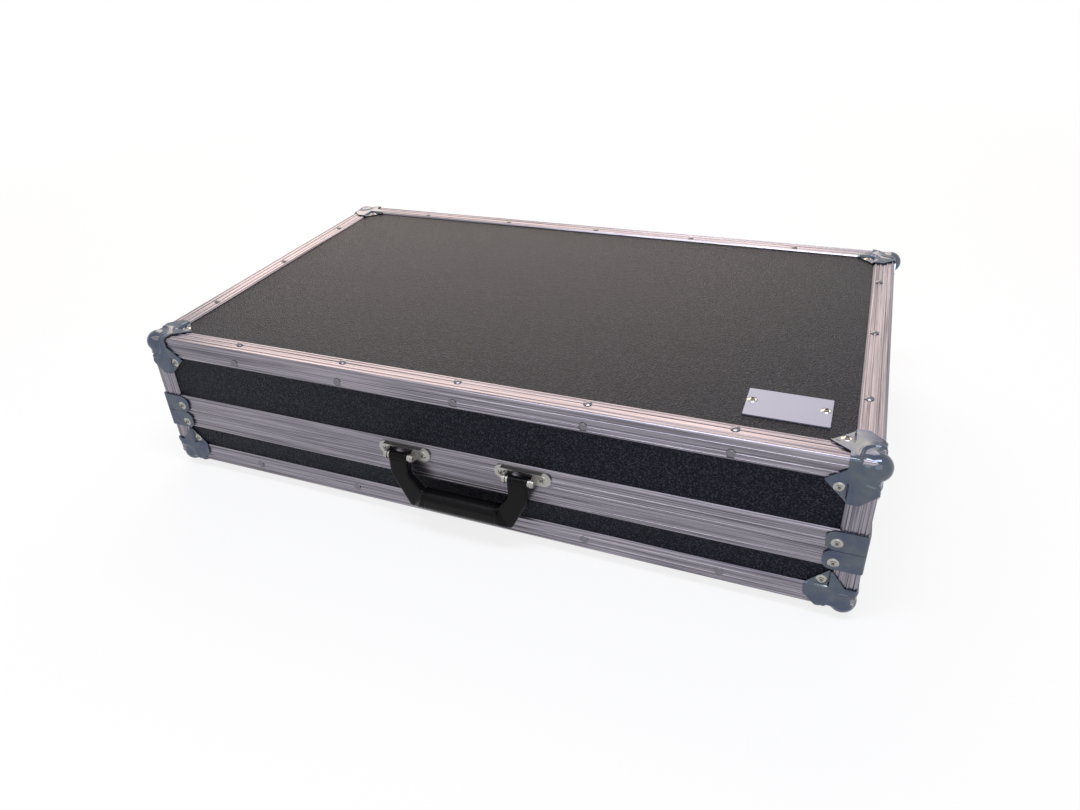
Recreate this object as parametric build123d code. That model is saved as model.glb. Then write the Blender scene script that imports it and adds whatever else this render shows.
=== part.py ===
from build123d import *
import os

# A low flight case for a table-top player: laminated board held in aluminium edge angles,
# closed by tongue-and-groove rails, with ball corners, a folding handle on the lid's front,
# a turn latch in a recessed dish on each short side and three hinges along the back.
# Everything is drawn in the case's own frame: X along the front, Y from front to back, Z up,
# with the middle of the underside as zero. The finished pieces are moved together at the end,
# so that the part stands on its feet with the middle of its footprint at the origin.
# All sizes are in millimetres.

# Overall
case_length = 730.0
case_width = 445.0
base_height = 64.0
lid_height = 91.0
seam_gap = 0.4
board_thickness = 7.0

# Edge angle
edge_leg = 22.0
edge_wall = 2.2
edge_corner_radius = 2.8
corner_band = 3.0
rib_height = 0.5
rib_width = 2.2
rib_slope = 0.4
rib_gap = 5.1
first_rib_inset = 6.7
lip_band = 1.8
lip_chamfer = 1.6

# Tongue-and-groove rails along the seam
rail_height = 20.0
rail_lip_band = 1.6
rail_lip_chamfer = 1.9
rail_rib_lip_gap = 0.7
rail_inner_wall = 1.5
base_web = 4.0
base_inner_flange = 14.0
lid_groove_depth = 8.0
lid_web = 3.0
lid_inner_flange = 17.0
tongue_height = 6.0
tongue_width = 4.4
tongue_outer_clearance = 0.8
tongue_chamfer = 1.0

# Rivets
rivet_head_radius = 4.0
rivet_head_height = 1.5
rivet_shank_radius = 1.6
rivet_hole_clearance = 0.1
board_shank = 6.0
rail_shank = 3.0
wide_head_radius = 4.7
narrow_head_radius = 4.2
blind_rim_width = 1.3
blind_groove_floor = 0.45
mandrel_lip_width = 0.6
mandrel_mouth_radius = 1.5
mandrel_mouth_depth = 1.3
mandrel_bore_radius = 1.0
mandrel_bore_depth = 3.2
long_rivet_pitch = 126.0
long_rivet_count = 5
short_rivet_pitch = 127.0
short_rivet_count = 3
lid_rivet_inset = 15.0
base_rivet_inset = 12.0

# Ball corners
ball_radius = 11.9
ball_proud_notched = 7.4
ball_proud_filled = 2.5
corner_sheet = 1.4
flange_reach = 42.0
notched_leg = 25.0
notched_leg_width = 9.5
filled_leg = 30.0
filled_leg_shoulder = 12.0
flange_rivet_inset = 28.6
collar_radius = 18.3
collar_width = 2.2
collar_height = 0.8
ball_clearance = 0.2

# Corner braces at the seam
brace_sheet = 1.6
brace_leg = 31.5
brace_end_radius = 8.0
brace_rivet_inset = 22.3
brace_bend_radius = 3.0
brace_dimple_inset = 10.5
brace_dimple_radius = 1.8
brace_dimple_height = 0.6
lid_brace_rivet_rise = 7.9
base_brace_rivet_drop = 13.0

# Rubber feet
foot_height = 10.0
foot_radius = 15.0
foot_taper = 1.5
foot_inset_x = 75.0
foot_inset_y = 62.0
foot_bore_radius = 6.5
foot_bore_depth = 6.0
foot_screw_head_radius = 5.5
foot_screw_head_height = 2.4
foot_screw_radius = 2.2
foot_screw_length = 11.0
screw_clearance = 0.1

# Foam lining
foam_clearance = 0.3
foam_wall_thickness = 14.0
base_foam_floor_thickness = 10.0
lid_foam_thickness = 20.0
foam_seam_drop = 6.0

# Hinges
hinge_count = 3
hinge_pitch = 250.0
hinge_width = 60.0
hinge_axis_out = 4.5
hinge_sheet = 1.5
hinge_leaf_height = 16.5
knuckle_radius = 3.2
knuckle_count = 5
knuckle_gap = 0.3
hinge_pin_radius = 1.5
hinge_pin_overhang = 0.8
hinge_rivet_spacing = 36.0
hinge_rivet_height = 12.0

# Clearances shared by the fits, and how far a cutting shape runs past what it cuts
running_clearance = 0.05
press_clearance = 0.02
overshoot = 1.0

# Handle brackets
handle_offset = 3.7
bracket_half_spacing = 63.0
bracket_sheet = 1.5
bracket_rivet_half_spacing = 20.5
bracket_height = 16.0
bracket_rise = 9.4
ear_gap = 25.0
ear_eye_radius = 4.3
ear_root_drop = 7.0
hood_depth = 4.5
window_sill = 5.5
handle_pin_out = 11.2
handle_pin_rise = 10.2
handle_pin_radius = 2.0
handle_pin_head_radius = 3.6
handle_pin_head_height = 1.8

# Handle moulding
arm_width = 20.0
arm_thickness = 9.0
arm_edge_radius = 2.4
handle_drop = 56.4
shoulder_drop = 20.0
heel_width = 110.0
grip_length = 82.0
grip_height = 21.0
grip_depth = 18.0
grip_corner_radius = 7.5
sleeve_radius = 3.6
sleeve_length = 24.0

# Name plate
plate_length = 70.0
plate_width = 43.5
plate_thickness = 1.0
plate_gap_right = 42.0
plate_gap_front = 41.2
plate_corner_radius = 1.0
plate_rivet_half_spacing = 30.0
plate_rivet_back = 3.0

# Recessed turn latches, one on each short side
dish_width = 84.0
dish_height = 40.0
dish_sheet = 1.2
dish_rim_side = 6.8
dish_rim_end = 2.8
dish_depth = 13.2
dish_hole_clearance = 0.3
dish_rivet_inset = 4.0
boss_drop = 18.5
boss_radius = 9.0
boss_front = 3.3
boss_thickness = 4.7
boss_shaft_radius = 3.0
boss_tail = 1.2
boss_tail_radius = 5.0
latch_gap = 0.3
lug_inner = 6.0
lug_thickness = 2.4
lug_half_height = 2.0
lug_front = 0.9
wing_radius = 17.4
wing_thickness = 1.8
wing_front = 1.0
wing_axis_depth = 2.5
wing_barrel_radius = 1.4
wing_trunnion_radius = 0.8
wing_root = 3.2
wing_notch_radius = 4.5
claw_half_width = 8.0
claw_thickness = 1.5
claw_tail = 31.0
claw_tip = 9.0
claw_tip_radius = 4.0
claw_travel = 6.0
claw_slot_clearance = 0.3
strike_half_width = 10.0
strike_rise = 2.0
strike_height = 6.0

# Levels and half sizes that follow from the sizes above
case_height = base_height + lid_height
half_length = case_length / 2
half_width = case_width / 2
lid_bottom = base_height + seam_gap
board_inside = edge_wall + board_thickness
rail_inside = board_inside + rail_inner_wall
front_reach = handle_pin_out + grip_depth / 2
back_reach = hinge_axis_out + knuckle_radius
body_shift = (front_reach - back_reach) / 2

nodes = {}


def block(x, y, z):
    """A box given by its low and high value along each axis."""
    spans = (x, y, z)
    centre = [(low + high) / 2 for low, high in spans]
    sizes = [high - low for low, high in spans]
    return Pos(*centre) * Box(*sizes)


def rise(level, away, low, high):
    """The Z span between two distances from a level, going up or down away from it."""
    return sorted((level + away * low, level + away * high))


def bar_along_x(radius, low, high, y, z):
    """A round bar between two X values."""
    return Pos((low + high) / 2, y, z) * Rot(0, 90, 0) * Cylinder(radius, high - low)


def at_ends(shape):
    """The shape on the right-hand end and its mirror image on the left-hand end."""
    return [shape, mirror(shape, about=Plane.YZ)]


def at_sides(shape):
    """The shape on the front and its mirror image on the back."""
    return [shape, mirror(shape, about=Plane.XZ)]


def at_corners(shape):
    """The shape at the front right corner and its mirror images at the other three."""
    return [image for end in at_ends(shape) for image in at_sides(end)]


def extruded_profile(profile, start, across, down, length):
    """A profile drawn across and down from the start, run along across x down."""
    run = Vector(*across).cross(Vector(*down))
    plane = Plane(origin=start, x_dir=across, z_dir=run)
    return extrude(plane * profile, amount=length, dir=run)


def rib_outline(starts):
    """The outline of raised ribs along a face: distance along it and depth below its datum."""
    points = []
    for start in starts:
        end = start + rib_width
        points += [(start, rib_height), (start + rib_slope, 0)]
        points += [(end - rib_slope, 0), (end, rib_height)]
    return points


def lip_outline(height, band, chamfer):
    """The raised and bevelled lip that ends a face of the given height."""
    start = height - chamfer - band
    return [
        (start, rib_height), (start + rib_slope, 0), (height - chamfer, 0),
        (height, chamfer), (height, edge_wall),
    ]


# Edge angle: a ribbed L with a raised lip along each leg
def angle_profile():
    """The angle's section, with its heel at zero and its legs along both axes."""
    rib_starts = (first_rib_inset, first_rib_inset + rib_width + rib_gap)
    leg = [(corner_band, 0), (corner_band + rib_slope, rib_height)]
    leg += rib_outline(rib_starts)
    leg += lip_outline(edge_leg, lip_band, lip_chamfer)
    other_leg = [(depth, along) for along, depth in reversed(leg)]
    profile = Polygon((0, 0), *leg, (edge_wall, edge_wall), *other_leg, align=None)
    heel = profile.vertices().sort_by_distance((0, 0, 0))[0]
    return fillet(heel, radius=edge_corner_radius)


def edge_pair(level, down):
    """The front and right angles of one half, whose outer corner is at the level."""
    profile = angle_profile()
    front_start = (-down * half_length, -half_width, level)
    front = extruded_profile(profile, front_start, (0, 1, 0), (0, 0, down), case_length)
    right_length = case_width - 2 * edge_leg
    right_start = (half_length, -down * right_length / 2, level)
    right = extruded_profile(profile, right_start, (-1, 0, 0), (0, 0, down), right_length)
    return front, right


def post(low, high):
    """The upright angle on the front right corner."""
    start = (half_length, -half_width, high)
    return extruded_profile(angle_profile(), start, (-1, 0, 0), (0, 1, 0), high - low)


# Rails: the base rail has the tongue, the lid rail the groove
def rail_face(rib_starts):
    """A rail's outer face from the seam to its lip, as depth and distance from the seam."""
    points = [(0, 0), (rib_width - rib_slope, 0), (rib_width, rib_height)]
    points += rib_outline(rib_starts)
    points += lip_outline(rail_height, rail_lip_band, rail_lip_chamfer)
    return [(depth, along) for along, depth in points]


def base_rail_profile():
    """Distance in from the outer face, and distance down from the seam."""
    lip_start = rail_height - rail_lip_chamfer - rail_lip_band
    last_rib = lip_start - rail_rib_lip_gap - rib_width
    outline = rail_face((last_rib - rib_gap - rib_width, last_rib))
    tongue_low = edge_wall + tongue_outer_clearance
    tongue_high = tongue_low + tongue_width
    shoulder = tongue_height - tongue_chamfer
    outline += [(edge_wall, base_web), (board_inside, base_web)]
    outline += [(board_inside, base_inner_flange), (rail_inside, base_inner_flange)]
    outline += [(rail_inside, 0), (tongue_high, 0), (tongue_high, -shoulder)]
    outline += [(tongue_high - tongue_chamfer, -tongue_height)]
    outline += [(tongue_low + tongue_chamfer, -tongue_height)]
    outline += [(tongue_low, -shoulder), (tongue_low, 0)]
    return Polygon(*outline, align=None)


def lid_rail_profile():
    """Distance in from the outer face, and distance up from the seam."""
    outline = rail_face((rib_width + rib_gap,))
    web_top = lid_groove_depth + lid_web
    outline += [(edge_wall, web_top), (board_inside, web_top)]
    outline += [(board_inside, lid_inner_flange), (rail_inside, lid_inner_flange)]
    outline += [(rail_inside, 0), (board_inside, 0), (board_inside, lid_groove_depth)]
    outline += [(edge_wall, lid_groove_depth), (edge_wall, 0)]
    return Polygon(*outline, align=None)


def rail_pair(profile, level, away):
    """The front and right rails of one half, which lies up or down away from the seam."""
    front_start = (-away * half_length, -half_width, level)
    front = extruded_profile(profile, front_start, (0, 1, 0), (0, 0, away), case_length)
    short_half = half_width - rail_inside
    right_start = (half_length, -away * short_half, level)
    right = extruded_profile(profile, right_start, (-1, 0, 0), (0, 0, away), 2 * short_half)
    return front, right


# Rivets: one pattern of each kind, copied to its places
def dome(radius, height):
    """A low dome: the part of a ball that stands over a flat circle."""
    crown = (radius**2 + height**2) / (2 * height)
    ball = Pos(0, 0, height - crown) * Sphere(crown)
    return ball & block((-crown, crown), (-crown, crown), (0, 2 * height))


def rivet(shank, head_radius):
    """A solid rivet seated at zero with its domed head up."""
    head = dome(head_radius, rivet_head_height)
    return head + Pos(0, 0, -shank / 2) * Cylinder(rivet_shank_radius, shank)


def blind_rivet(shank, head_radius):
    """A pulled rivet: the mandrel's stepped hole in a raised lip, and a groove inside the rim."""
    groove = Cylinder(head_radius - blind_rim_width, rivet_head_height)
    groove -= Cylinder(mandrel_mouth_radius + mandrel_lip_width, rivet_head_height)
    body = rivet(shank, head_radius)
    body -= Pos(0, 0, blind_groove_floor + rivet_head_height / 2) * groove
    mouth = Cylinder(mandrel_mouth_radius, mandrel_mouth_depth)
    bore = Cylinder(mandrel_bore_radius, mandrel_bore_depth)
    body -= Pos(0, 0, rivet_head_height - mandrel_mouth_depth / 2) * mouth
    return body - Pos(0, 0, rivet_head_height - mandrel_bore_depth / 2) * bore


def blind_rivets(board_sites, rail_sites, head_radius):
    """Pulled rivets with one size of head, through the boards and through the rails."""
    rivets = placed(blind_rivet(board_shank, head_radius), board_sites)
    return rivets + placed(blind_rivet(rail_shank, head_radius), rail_sites)


def drill(shank):
    """The hole for one rivet, from above its seat to just past its tip."""
    low = -shank - rivet_hole_clearance
    radius = rivet_shank_radius + rivet_hole_clearance
    return Pos(0, 0, (low + overshoot) / 2) * Cylinder(radius, overshoot - low)


def placed(shape, sites):
    """Copies of a shape, each with its own Z along a site's outward direction."""
    return [Plane(origin=point, z_dir=normal).location * shape for point, normal in sites]


def flipped(sites, axis):
    """The sites and their mirror images across the middle plane of one axis."""
    signs = [-1 if index == axis else 1 for index in range(3)]
    images = []
    for point, normal in sites:
        image = tuple(sign * value for sign, value in zip(signs, point))
        image_normal = tuple(sign * value for sign, value in zip(signs, normal))
        images.append((image, image_normal))
    return sites + images


def spread(count, pitch):
    """Evenly spaced places about zero."""
    return [(index - (count - 1) / 2) * pitch for index in range(count)]


def edge_sites(level, up, inset):
    """Rivets on both faces of the long and short angles of one half."""
    long_sites = []
    for x in spread(long_rivet_count, long_rivet_pitch):
        long_sites.append(((x, inset - half_width, level), (0, 0, up)))
        long_sites.append(((x, -half_width, level - up * inset), (0, -1, 0)))
    short_sites = []
    for y in spread(short_rivet_count, short_rivet_pitch):
        short_sites.append(((half_length - inset, y, level), (0, 0, up)))
        short_sites.append(((half_length, y, level - up * inset), (1, 0, 0)))
    return flipped(long_sites, 1) + flipped(short_sites, 0)


def flange_sites(level, up):
    """The rivet in each of a ball corner's three flanges, at the four corners of one half."""
    seat = edge_wall - corner_sheet
    inset = flange_rivet_inset
    sites = [
        ((half_length - inset, inset - half_width, level - up * seat), (0, 0, up)),
        ((half_length - inset, seat - half_width, level - up * inset), (0, -1, 0)),
        ((half_length - seat, inset - half_width, level - up * inset), (1, 0, 0)),
    ]
    return flipped(flipped(sites, 0), 1)


def on_brace(inset, level):
    """The places on both faces of the front right brace, as far in from the case's corner."""
    return [
        ((half_length - inset, -half_width - brace_sheet, level), (0, -1, 0)),
        ((half_length + brace_sheet, inset - half_width, level), (1, 0, 0)),
    ]


def brace_sites(level):
    """The two rivets of each corner brace of one half."""
    return flipped(flipped(on_brace(brace_rivet_inset, level), 0), 1)


def hinge_sites(level):
    """Two rivets in each hinge leaf."""
    sites = []
    for middle in spread(hinge_count, hinge_pitch):
        for step in spread(2, hinge_rivet_spacing):
            sites.append(((middle + step, half_width + hinge_sheet, level), (0, 1, 0)))
    return sites


def dish_sites(level):
    """Two rivets in the rim of each latch dish, out on the board."""
    reach = dish_width / 2 - dish_rivet_inset
    seat = edge_wall - dish_sheet
    sites = [((half_length - seat, y, level), (1, 0, 0)) for y in (-reach, reach)]
    return flipped(sites, 0)


def bracket_sites():
    """Two rivets in each handle bracket."""
    level = lid_bottom + bracket_rise
    sites = []
    for middle in bracket_places():
        for step in (-bracket_rivet_half_spacing, bracket_rivet_half_spacing):
            sites.append(((middle + step, -half_width - bracket_sheet, level), (0, -1, 0)))
    return sites


def name_plate_sites(level):
    """One rivet near each end of the name plate."""
    x, y = name_plate_centre()
    return [
        ((x + step, y + plate_rivet_back, level), (0, 0, 1))
        for step in (-plate_rivet_half_spacing, plate_rivet_half_spacing)
    ]


# Ball corner: three cranked flanges round a hollow ball. One leg of each corner is notched:
# the one along the front at the lid's corners, and the upright one at the base's corners.
# The ball stands further out along the notched leg than along the other two.
def ball_inset(notched):
    """How far in the ball's centre lies along a leg."""
    return ball_radius - (ball_proud_notched if notched else ball_proud_filled)


def leg_outline(notched):
    """The end of one leg and the flange's tip beside it, as distances along and across the leg."""
    tip = (flange_reach, edge_leg)
    if notched:
        return [(notched_leg, -corner_sheet), (notched_leg, notched_leg_width), tip]
    return [(filled_leg, -corner_sheet), (filled_leg, 0), (flange_reach, filled_leg_shoulder), tip]


def corner_plate(first_notched, second_notched):
    """The plate on one face, in distances from the corner; its wrap covers the edges."""
    wrap = -corner_sheet
    first = leg_outline(first_notched)
    second = [(across, along) for along, across in reversed(leg_outline(second_notched))]
    outline = Polygon((wrap, wrap), *first, *second, align=None)
    past_angle = Rectangle(flange_reach, flange_reach, align=Align.MIN)
    past_angle = Pos(edge_leg, edge_leg) * past_angle
    flange = outline & past_angle
    crank = flange - Pos(corner_sheet, corner_sheet) * past_angle
    plate = extrude(outline - past_angle, amount=corner_sheet)
    plate += Pos(0, 0, -edge_wall) * extrude(crank, amount=edge_wall + corner_sheet)
    plate += Pos(0, 0, -edge_wall) * extrude(flange, amount=corner_sheet)
    return plate + corner_collar(ball_inset(first_notched), ball_inset(second_notched))


def corner_collar(first_inset, second_inset):
    """The low raised ring round the ball, cut off where the plate ends."""
    wrap = -corner_sheet
    ring = Cylinder(collar_radius, collar_height)
    ring -= Cylinder(collar_radius - collar_width, collar_height)
    ring = Pos(first_inset, second_inset, corner_sheet + collar_height / 2) * ring
    first = (wrap, first_inset + collar_radius)
    second = (wrap, second_inset + collar_radius)
    return ring & block(first, second, (0, corner_sheet + collar_height))


def standing_plate(along_notched, upright_notched):
    """The plate on the front face: the flat plate turned so that its second leg points down."""
    flat = mirror(corner_plate(along_notched, upright_notched), about=Plane.XZ)
    return Plane(origin=(0, 0, 0), x_dir=(1, 0, 0), z_dir=(0, -1, 0)) * flat


def ball_corner(front_notched, upright_notched):
    """One corner with its point at the origin and the case lying towards +X, +Y and -Z."""
    top = corner_plate(front_notched, False)
    front = standing_plate(front_notched, upright_notched)
    side = mirror(standing_plate(False, upright_notched), about=Plane(origin=(0, 0, 0), z_dir=(1, -1, 0)))
    x, y, z = ball_inset(front_notched), ball_inset(False), ball_inset(upright_notched)
    centre = Pos(x, y, -z)
    ball = centre * Sphere(ball_radius)
    point = block((-flange_reach, x), (-flange_reach, y), (-z, flange_reach)) - ball
    behind = block((0, flange_reach), (0, flange_reach), (-flange_reach, 0))
    behind -= block((0, x), (0, y), (-z, 0))
    plates = top + front + side - point
    return plates + (ball - behind) - centre * Sphere(ball_radius - corner_sheet)


def corner_place(level, up):
    """The corner moved to the front right of one half, its Z face up or down."""
    lower = up < 0
    corner = mirror(ball_corner(not lower, lower), about=Plane.YZ)
    if lower:
        corner = mirror(corner, about=Plane.XY)
    return Pos(half_length, -half_width, level) * corner


def corner_cutter(level, up):
    """The room that the ball takes at the front right corner of one half."""
    x_in, y_in, z_in = ball_inset(up > 0), ball_inset(False), ball_inset(up < 0)
    centre = Pos(half_length - x_in, y_in - half_width, level - up * z_in)
    ball = centre * Sphere(ball_radius + ball_clearance)
    x = (half_length - x_in, half_length + overshoot)
    y = (-half_width - overshoot, y_in - half_width)
    return ball + block(x, y, rise(level, up, -z_in, overshoot))


# Corner brace
def brace(low, high, dimple_level):
    """A strip bent round the front right upright corner, with a dimple raised on each face."""
    height = high - low
    middle = (low + high) / 2
    strip = Rectangle(2 * brace_leg, height)
    strip = fillet(strip.vertices(), radius=brace_end_radius)
    strip &= Pos((brace_sheet - brace_leg) / 2, 0) * Rectangle(brace_leg + brace_sheet, height)
    corner = (half_length, -half_width, middle)
    front_face = Plane(origin=corner, x_dir=(1, 0, 0), z_dir=(0, -1, 0))
    right_face = Plane(origin=corner, x_dir=(0, -1, 0), z_dir=(1, 0, 0))
    both = extrude(front_face * strip, amount=brace_sheet)
    both += extrude(right_face * strip, amount=brace_sheet)
    outer_corner = (half_length + brace_sheet, -half_width - brace_sheet, middle)
    bend = both.edges().filter_by(Axis.Z).sort_by_distance(outer_corner)[0]
    dimple = dome(brace_dimple_radius, brace_dimple_height)
    return fillet(bend, radius=brace_bend_radius) + placed(dimple, on_brace(brace_dimple_inset, dimple_level))


# Boards
def boards(floor_low, wall_low, wall_high):
    """The flat board and the front and right walls of one half."""
    out_x = half_length - edge_wall
    out_y = half_width - edge_wall
    in_x = half_length - board_inside
    in_y = half_width - board_inside
    flat = block((-out_x, out_x), (-out_y, out_y), (floor_low, floor_low + board_thickness))
    front = block((-out_x, out_x), (-out_y, -in_y), (wall_low, wall_high))
    end_y = half_width - rail_inside
    right = block((in_x, out_x), (-end_y, end_y), (wall_low, wall_high))
    return flat, front, right


# Hinges along the back
def hinge_strip(level, away, first, clearance):
    """The leaves of one half: plates with every second knuckle, from the first or the second."""
    axis = half_width + hinge_axis_out
    face = (half_width, half_width + hinge_sheet)
    plate_start = knuckle_radius + knuckle_gap
    plate_rise = rise(level, away, plate_start, plate_start + hinge_leaf_height)
    web_rise = rise(level, away, knuckle_radius - hinge_sheet, knuckle_radius)
    root_rise = rise(level, away, knuckle_radius - hinge_sheet, plate_start)
    pitch = hinge_width / knuckle_count
    leaves = []
    for middle in spread(hinge_count, hinge_pitch):
        start = middle - hinge_width / 2
        end = middle + hinge_width / 2
        leaf = block((start, end), face, plate_rise)
        for index in range(first, knuckle_count, 2):
            left = start + index * pitch + knuckle_gap / 2
            right = left + pitch - knuckle_gap
            leaf += bar_along_x(knuckle_radius, left, right, axis, level)
            leaf += block((left, right), (half_width, axis), web_rise)
            leaf += block((left, right), face, root_rise)
        leaf -= bar_along_x(hinge_pin_radius + clearance, start, end, axis, level)
        leaves.append(leaf)
    return leaves


def hinge_pins(level):
    """One pin through all the knuckles of each hinge."""
    axis = half_width + hinge_axis_out
    reach = hinge_width / 2 + hinge_pin_overhang
    return [
        bar_along_x(hinge_pin_radius, middle - reach, middle + reach, axis, level)
        for middle in spread(hinge_count, hinge_pitch)
    ]


# Handle
pin_y = -half_width - handle_pin_out
pin_z = lid_bottom + handle_pin_rise


def bracket_places():
    """The middle of each handle bracket along the front."""
    return [handle_offset + side * bracket_half_spacing for side in (-1, 1)]


def bracket_ear():
    """The right-hand ear about the bracket's middle: a leaf with the pin's eye at its tip."""
    root_low = lid_bottom + bracket_rise - ear_root_drop
    root_high = lid_bottom + bracket_rise + bracket_height / 2 - bracket_sheet
    outline = Polygon(
        (-half_width, root_low), (-half_width - bracket_sheet, root_low),
        (pin_y, pin_z - ear_eye_radius), (pin_y, pin_z + ear_eye_radius),
        (-half_width - bracket_sheet, root_high), (-half_width, root_high), align=None,
    )
    outline += Pos(pin_y, pin_z) * Circle(ear_eye_radius)
    outline -= Pos(pin_y, pin_z) * Circle(handle_pin_radius + press_clearance)
    side = Plane(origin=(ear_gap / 2, 0, 0), x_dir=(0, 1, 0), z_dir=(1, 0, 0))
    return extrude(side * outline, amount=bracket_sheet, dir=(1, 0, 0))


def bracket():
    """One handle bracket about its own middle: a plate with a window, two ears and a hood."""
    rivet_z = lid_bottom + bracket_rise
    face = Plane(origin=(0, -half_width, rivet_z), x_dir=(1, 0, 0), z_dir=(0, -1, 0))
    overall = 2 * bracket_rivet_half_spacing + bracket_height
    plate = extrude(face * SlotOverall(overall, bracket_height), amount=bracket_sheet)
    hood_top = rivet_z + bracket_height / 2
    hood_low = hood_top - bracket_sheet
    hood_front = -half_width - bracket_sheet - hood_depth
    hood_half = bracket_rivet_half_spacing
    half_gap = ear_gap / 2
    plate -= block((-half_gap, half_gap), (hood_front, -half_width), (rivet_z - window_sill, hood_low))
    plate += block((-hood_half, hood_half), (hood_front, -half_width), (hood_low, hood_top))
    ear = bracket_ear()
    return plate + ear + mirror(ear, about=Plane.YZ)


def handle_pin():
    """A pin through both ears, with a head outside each."""
    reach = ear_gap / 2 + bracket_sheet
    head_reach = reach + handle_pin_head_height
    pin = bar_along_x(handle_pin_radius, -reach, reach, pin_y, pin_z)
    pin += bar_along_x(handle_pin_head_radius, reach, head_reach, pin_y, pin_z)
    return pin + bar_along_x(handle_pin_head_radius, -head_reach, -reach, pin_y, pin_z)


def handle_frame():
    """The flat frame of the moulding, hanging from the pins: two arms that lean in to a bar."""
    outer = bracket_half_spacing + arm_width / 2
    inner = bracket_half_spacing - arm_width / 2
    heel = heel_width / 2
    grip_top = grip_height - handle_drop
    half = [
        (inner, 0), (outer, 0), (outer, -shoulder_drop), (heel, -handle_drop),
        (-heel, -handle_drop), (-outer, -shoulder_drop), (-outer, 0), (-inner, 0),
        (-inner, -shoulder_drop), (-grip_length / 2, grip_top),
        (grip_length / 2, grip_top), (inner, -shoulder_drop),
    ]
    face = Plane(origin=(0, arm_thickness / 2, 0), x_dir=(1, 0, 0), z_dir=(0, -1, 0))
    frame = extrude(face * Polygon(*half, align=None), amount=arm_thickness, dir=(0, -1, 0))
    rims = frame.faces().sort_by(Axis.Y)[0].edges() + frame.faces().sort_by(Axis.Y)[-1].edges()
    return fillet(rims, radius=arm_edge_radius)


def handle_moulding():
    """The frame with a round eye at the top of each arm and a thick rounded grip along its bar."""
    moulding = handle_frame()
    eyes = (-bracket_half_spacing, bracket_half_spacing)
    for x in eyes:
        moulding += bar_along_x(arm_thickness / 2, x - arm_width / 2, x + arm_width / 2, 0, 0)
    section = RectangleRounded(grip_depth, grip_height, grip_corner_radius)
    middle_z = grip_height / 2 - handle_drop
    end = Plane(origin=(-grip_length / 2, 0, middle_z), x_dir=(0, 1, 0), z_dir=(1, 0, 0))
    moulding += extrude(end * section, amount=grip_length)
    for x in eyes:
        moulding -= bar_along_x(sleeve_radius + running_clearance, x - arm_width, x + arm_width, 0, 0)
    return Pos(handle_offset, pin_y, pin_z) * moulding


def handle_sleeves():
    """The metal tube in each eye, which turns on the pin."""
    half = sleeve_length / 2
    bore = handle_pin_radius + running_clearance
    return [
        bar_along_x(sleeve_radius, x - half, x + half, pin_y, pin_z)
        - bar_along_x(bore, x - sleeve_length, x + sleeve_length, pin_y, pin_z)
        for x in bracket_places()
    ]


# Name plate on the lid
def name_plate_centre():
    """The middle of the plate in X and Y."""
    x = half_length - plate_gap_right - plate_length / 2
    y = -half_width + plate_gap_front + plate_width / 2
    return x, y


def name_plate(top):
    """A bare plate with small corner radii, lying on the top board."""
    x, y = name_plate_centre()
    face = RectangleRounded(plate_length, plate_width, plate_corner_radius)
    return Pos(x, y, top - plate_thickness) * extrude(face, amount=plate_thickness)


# Latch on the right-hand end. Depth is measured in from the outer face of the angles.
boss_z = base_height - boss_drop
boss_back = boss_front + boss_thickness
tail_front = dish_depth + latch_gap
tail_back = tail_front + boss_tail
claw_front = boss_back + latch_gap
strike_front = claw_front + claw_thickness + latch_gap
pan_floor = dish_depth - dish_sheet
wing_axis_x = half_length - wing_axis_depth


def at_depth(low, high):
    """The X span between two depths."""
    return (half_length - high, half_length - low)


def bar_at_depth(radius, low, high):
    """A round bar on the boss's axis between two depths."""
    return bar_along_x(radius, half_length - high, half_length - low, 0, boss_z)


def bar_on_wing_axis(radius, length):
    """A round bar along the wing's folding axis."""
    return Pos(wing_axis_x, 0, boss_z) * Rot(90, 0, 0) * Cylinder(radius, length)


def dish(level, away):
    """A pressed dish, open towards the seam, whose rim steps down from the rail to the board."""
    half = dish_width / 2
    mouth = half - dish_rim_side
    wall = mouth - dish_sheet
    end = dish_height - dish_rim_end
    step = rail_height + dish_sheet
    on_rail = rise(level, away, 0, step)
    on_board = rise(level, away, rail_height, dish_height)
    board_seat = edge_wall - dish_sheet
    pan = block(at_depth(-dish_sheet, dish_depth), (-mouth, mouth), on_rail)
    pan += block(at_depth(board_seat, dish_depth), (-mouth, mouth), rise(level, away, rail_height, end))
    pan += block(at_depth(-dish_sheet, 0), (-half, half), on_rail)
    pan += block(at_depth(-dish_sheet, edge_wall), (-half, half), rise(level, away, rail_height, step))
    pan += block(at_depth(board_seat, edge_wall), (-half, half), on_board)
    hollow_rise = rise(level, away, -overshoot, end - dish_sheet)
    return pan - block(at_depth(-dish_sheet - overshoot, pan_floor), (-wall, wall), hollow_rise)


def dish_hole(level, away):
    """The opening in the board and rail that a dish sits in."""
    half = dish_width / 2 - dish_rim_side + dish_hole_clearance
    end = dish_height - dish_rim_end + dish_hole_clearance
    return block(at_depth(0, rail_inside), (-half, half), rise(level, away, -tongue_height - overshoot, end))


def latch_boss():
    """The turning boss: a disc with two lugs for the wing, on a shaft through the dish."""
    boss = bar_at_depth(boss_radius, boss_front, boss_back)
    boss += bar_at_depth(boss_shaft_radius, boss_back, tail_back)
    boss += bar_at_depth(boss_tail_radius, tail_front, tail_back)
    lug_rise = (boss_z - lug_half_height, boss_z + lug_half_height)
    for side in (-1, 1):
        span = sorted((side * lug_inner, side * (lug_inner + lug_thickness)))
        boss += block(at_depth(lug_front, boss_front), span, lug_rise)
    boss -= bar_on_wing_axis(wing_barrel_radius + latch_gap, 2 * lug_inner)
    return boss - bar_on_wing_axis(wing_trunnion_radius + running_clearance, 2 * boss_radius)


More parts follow.
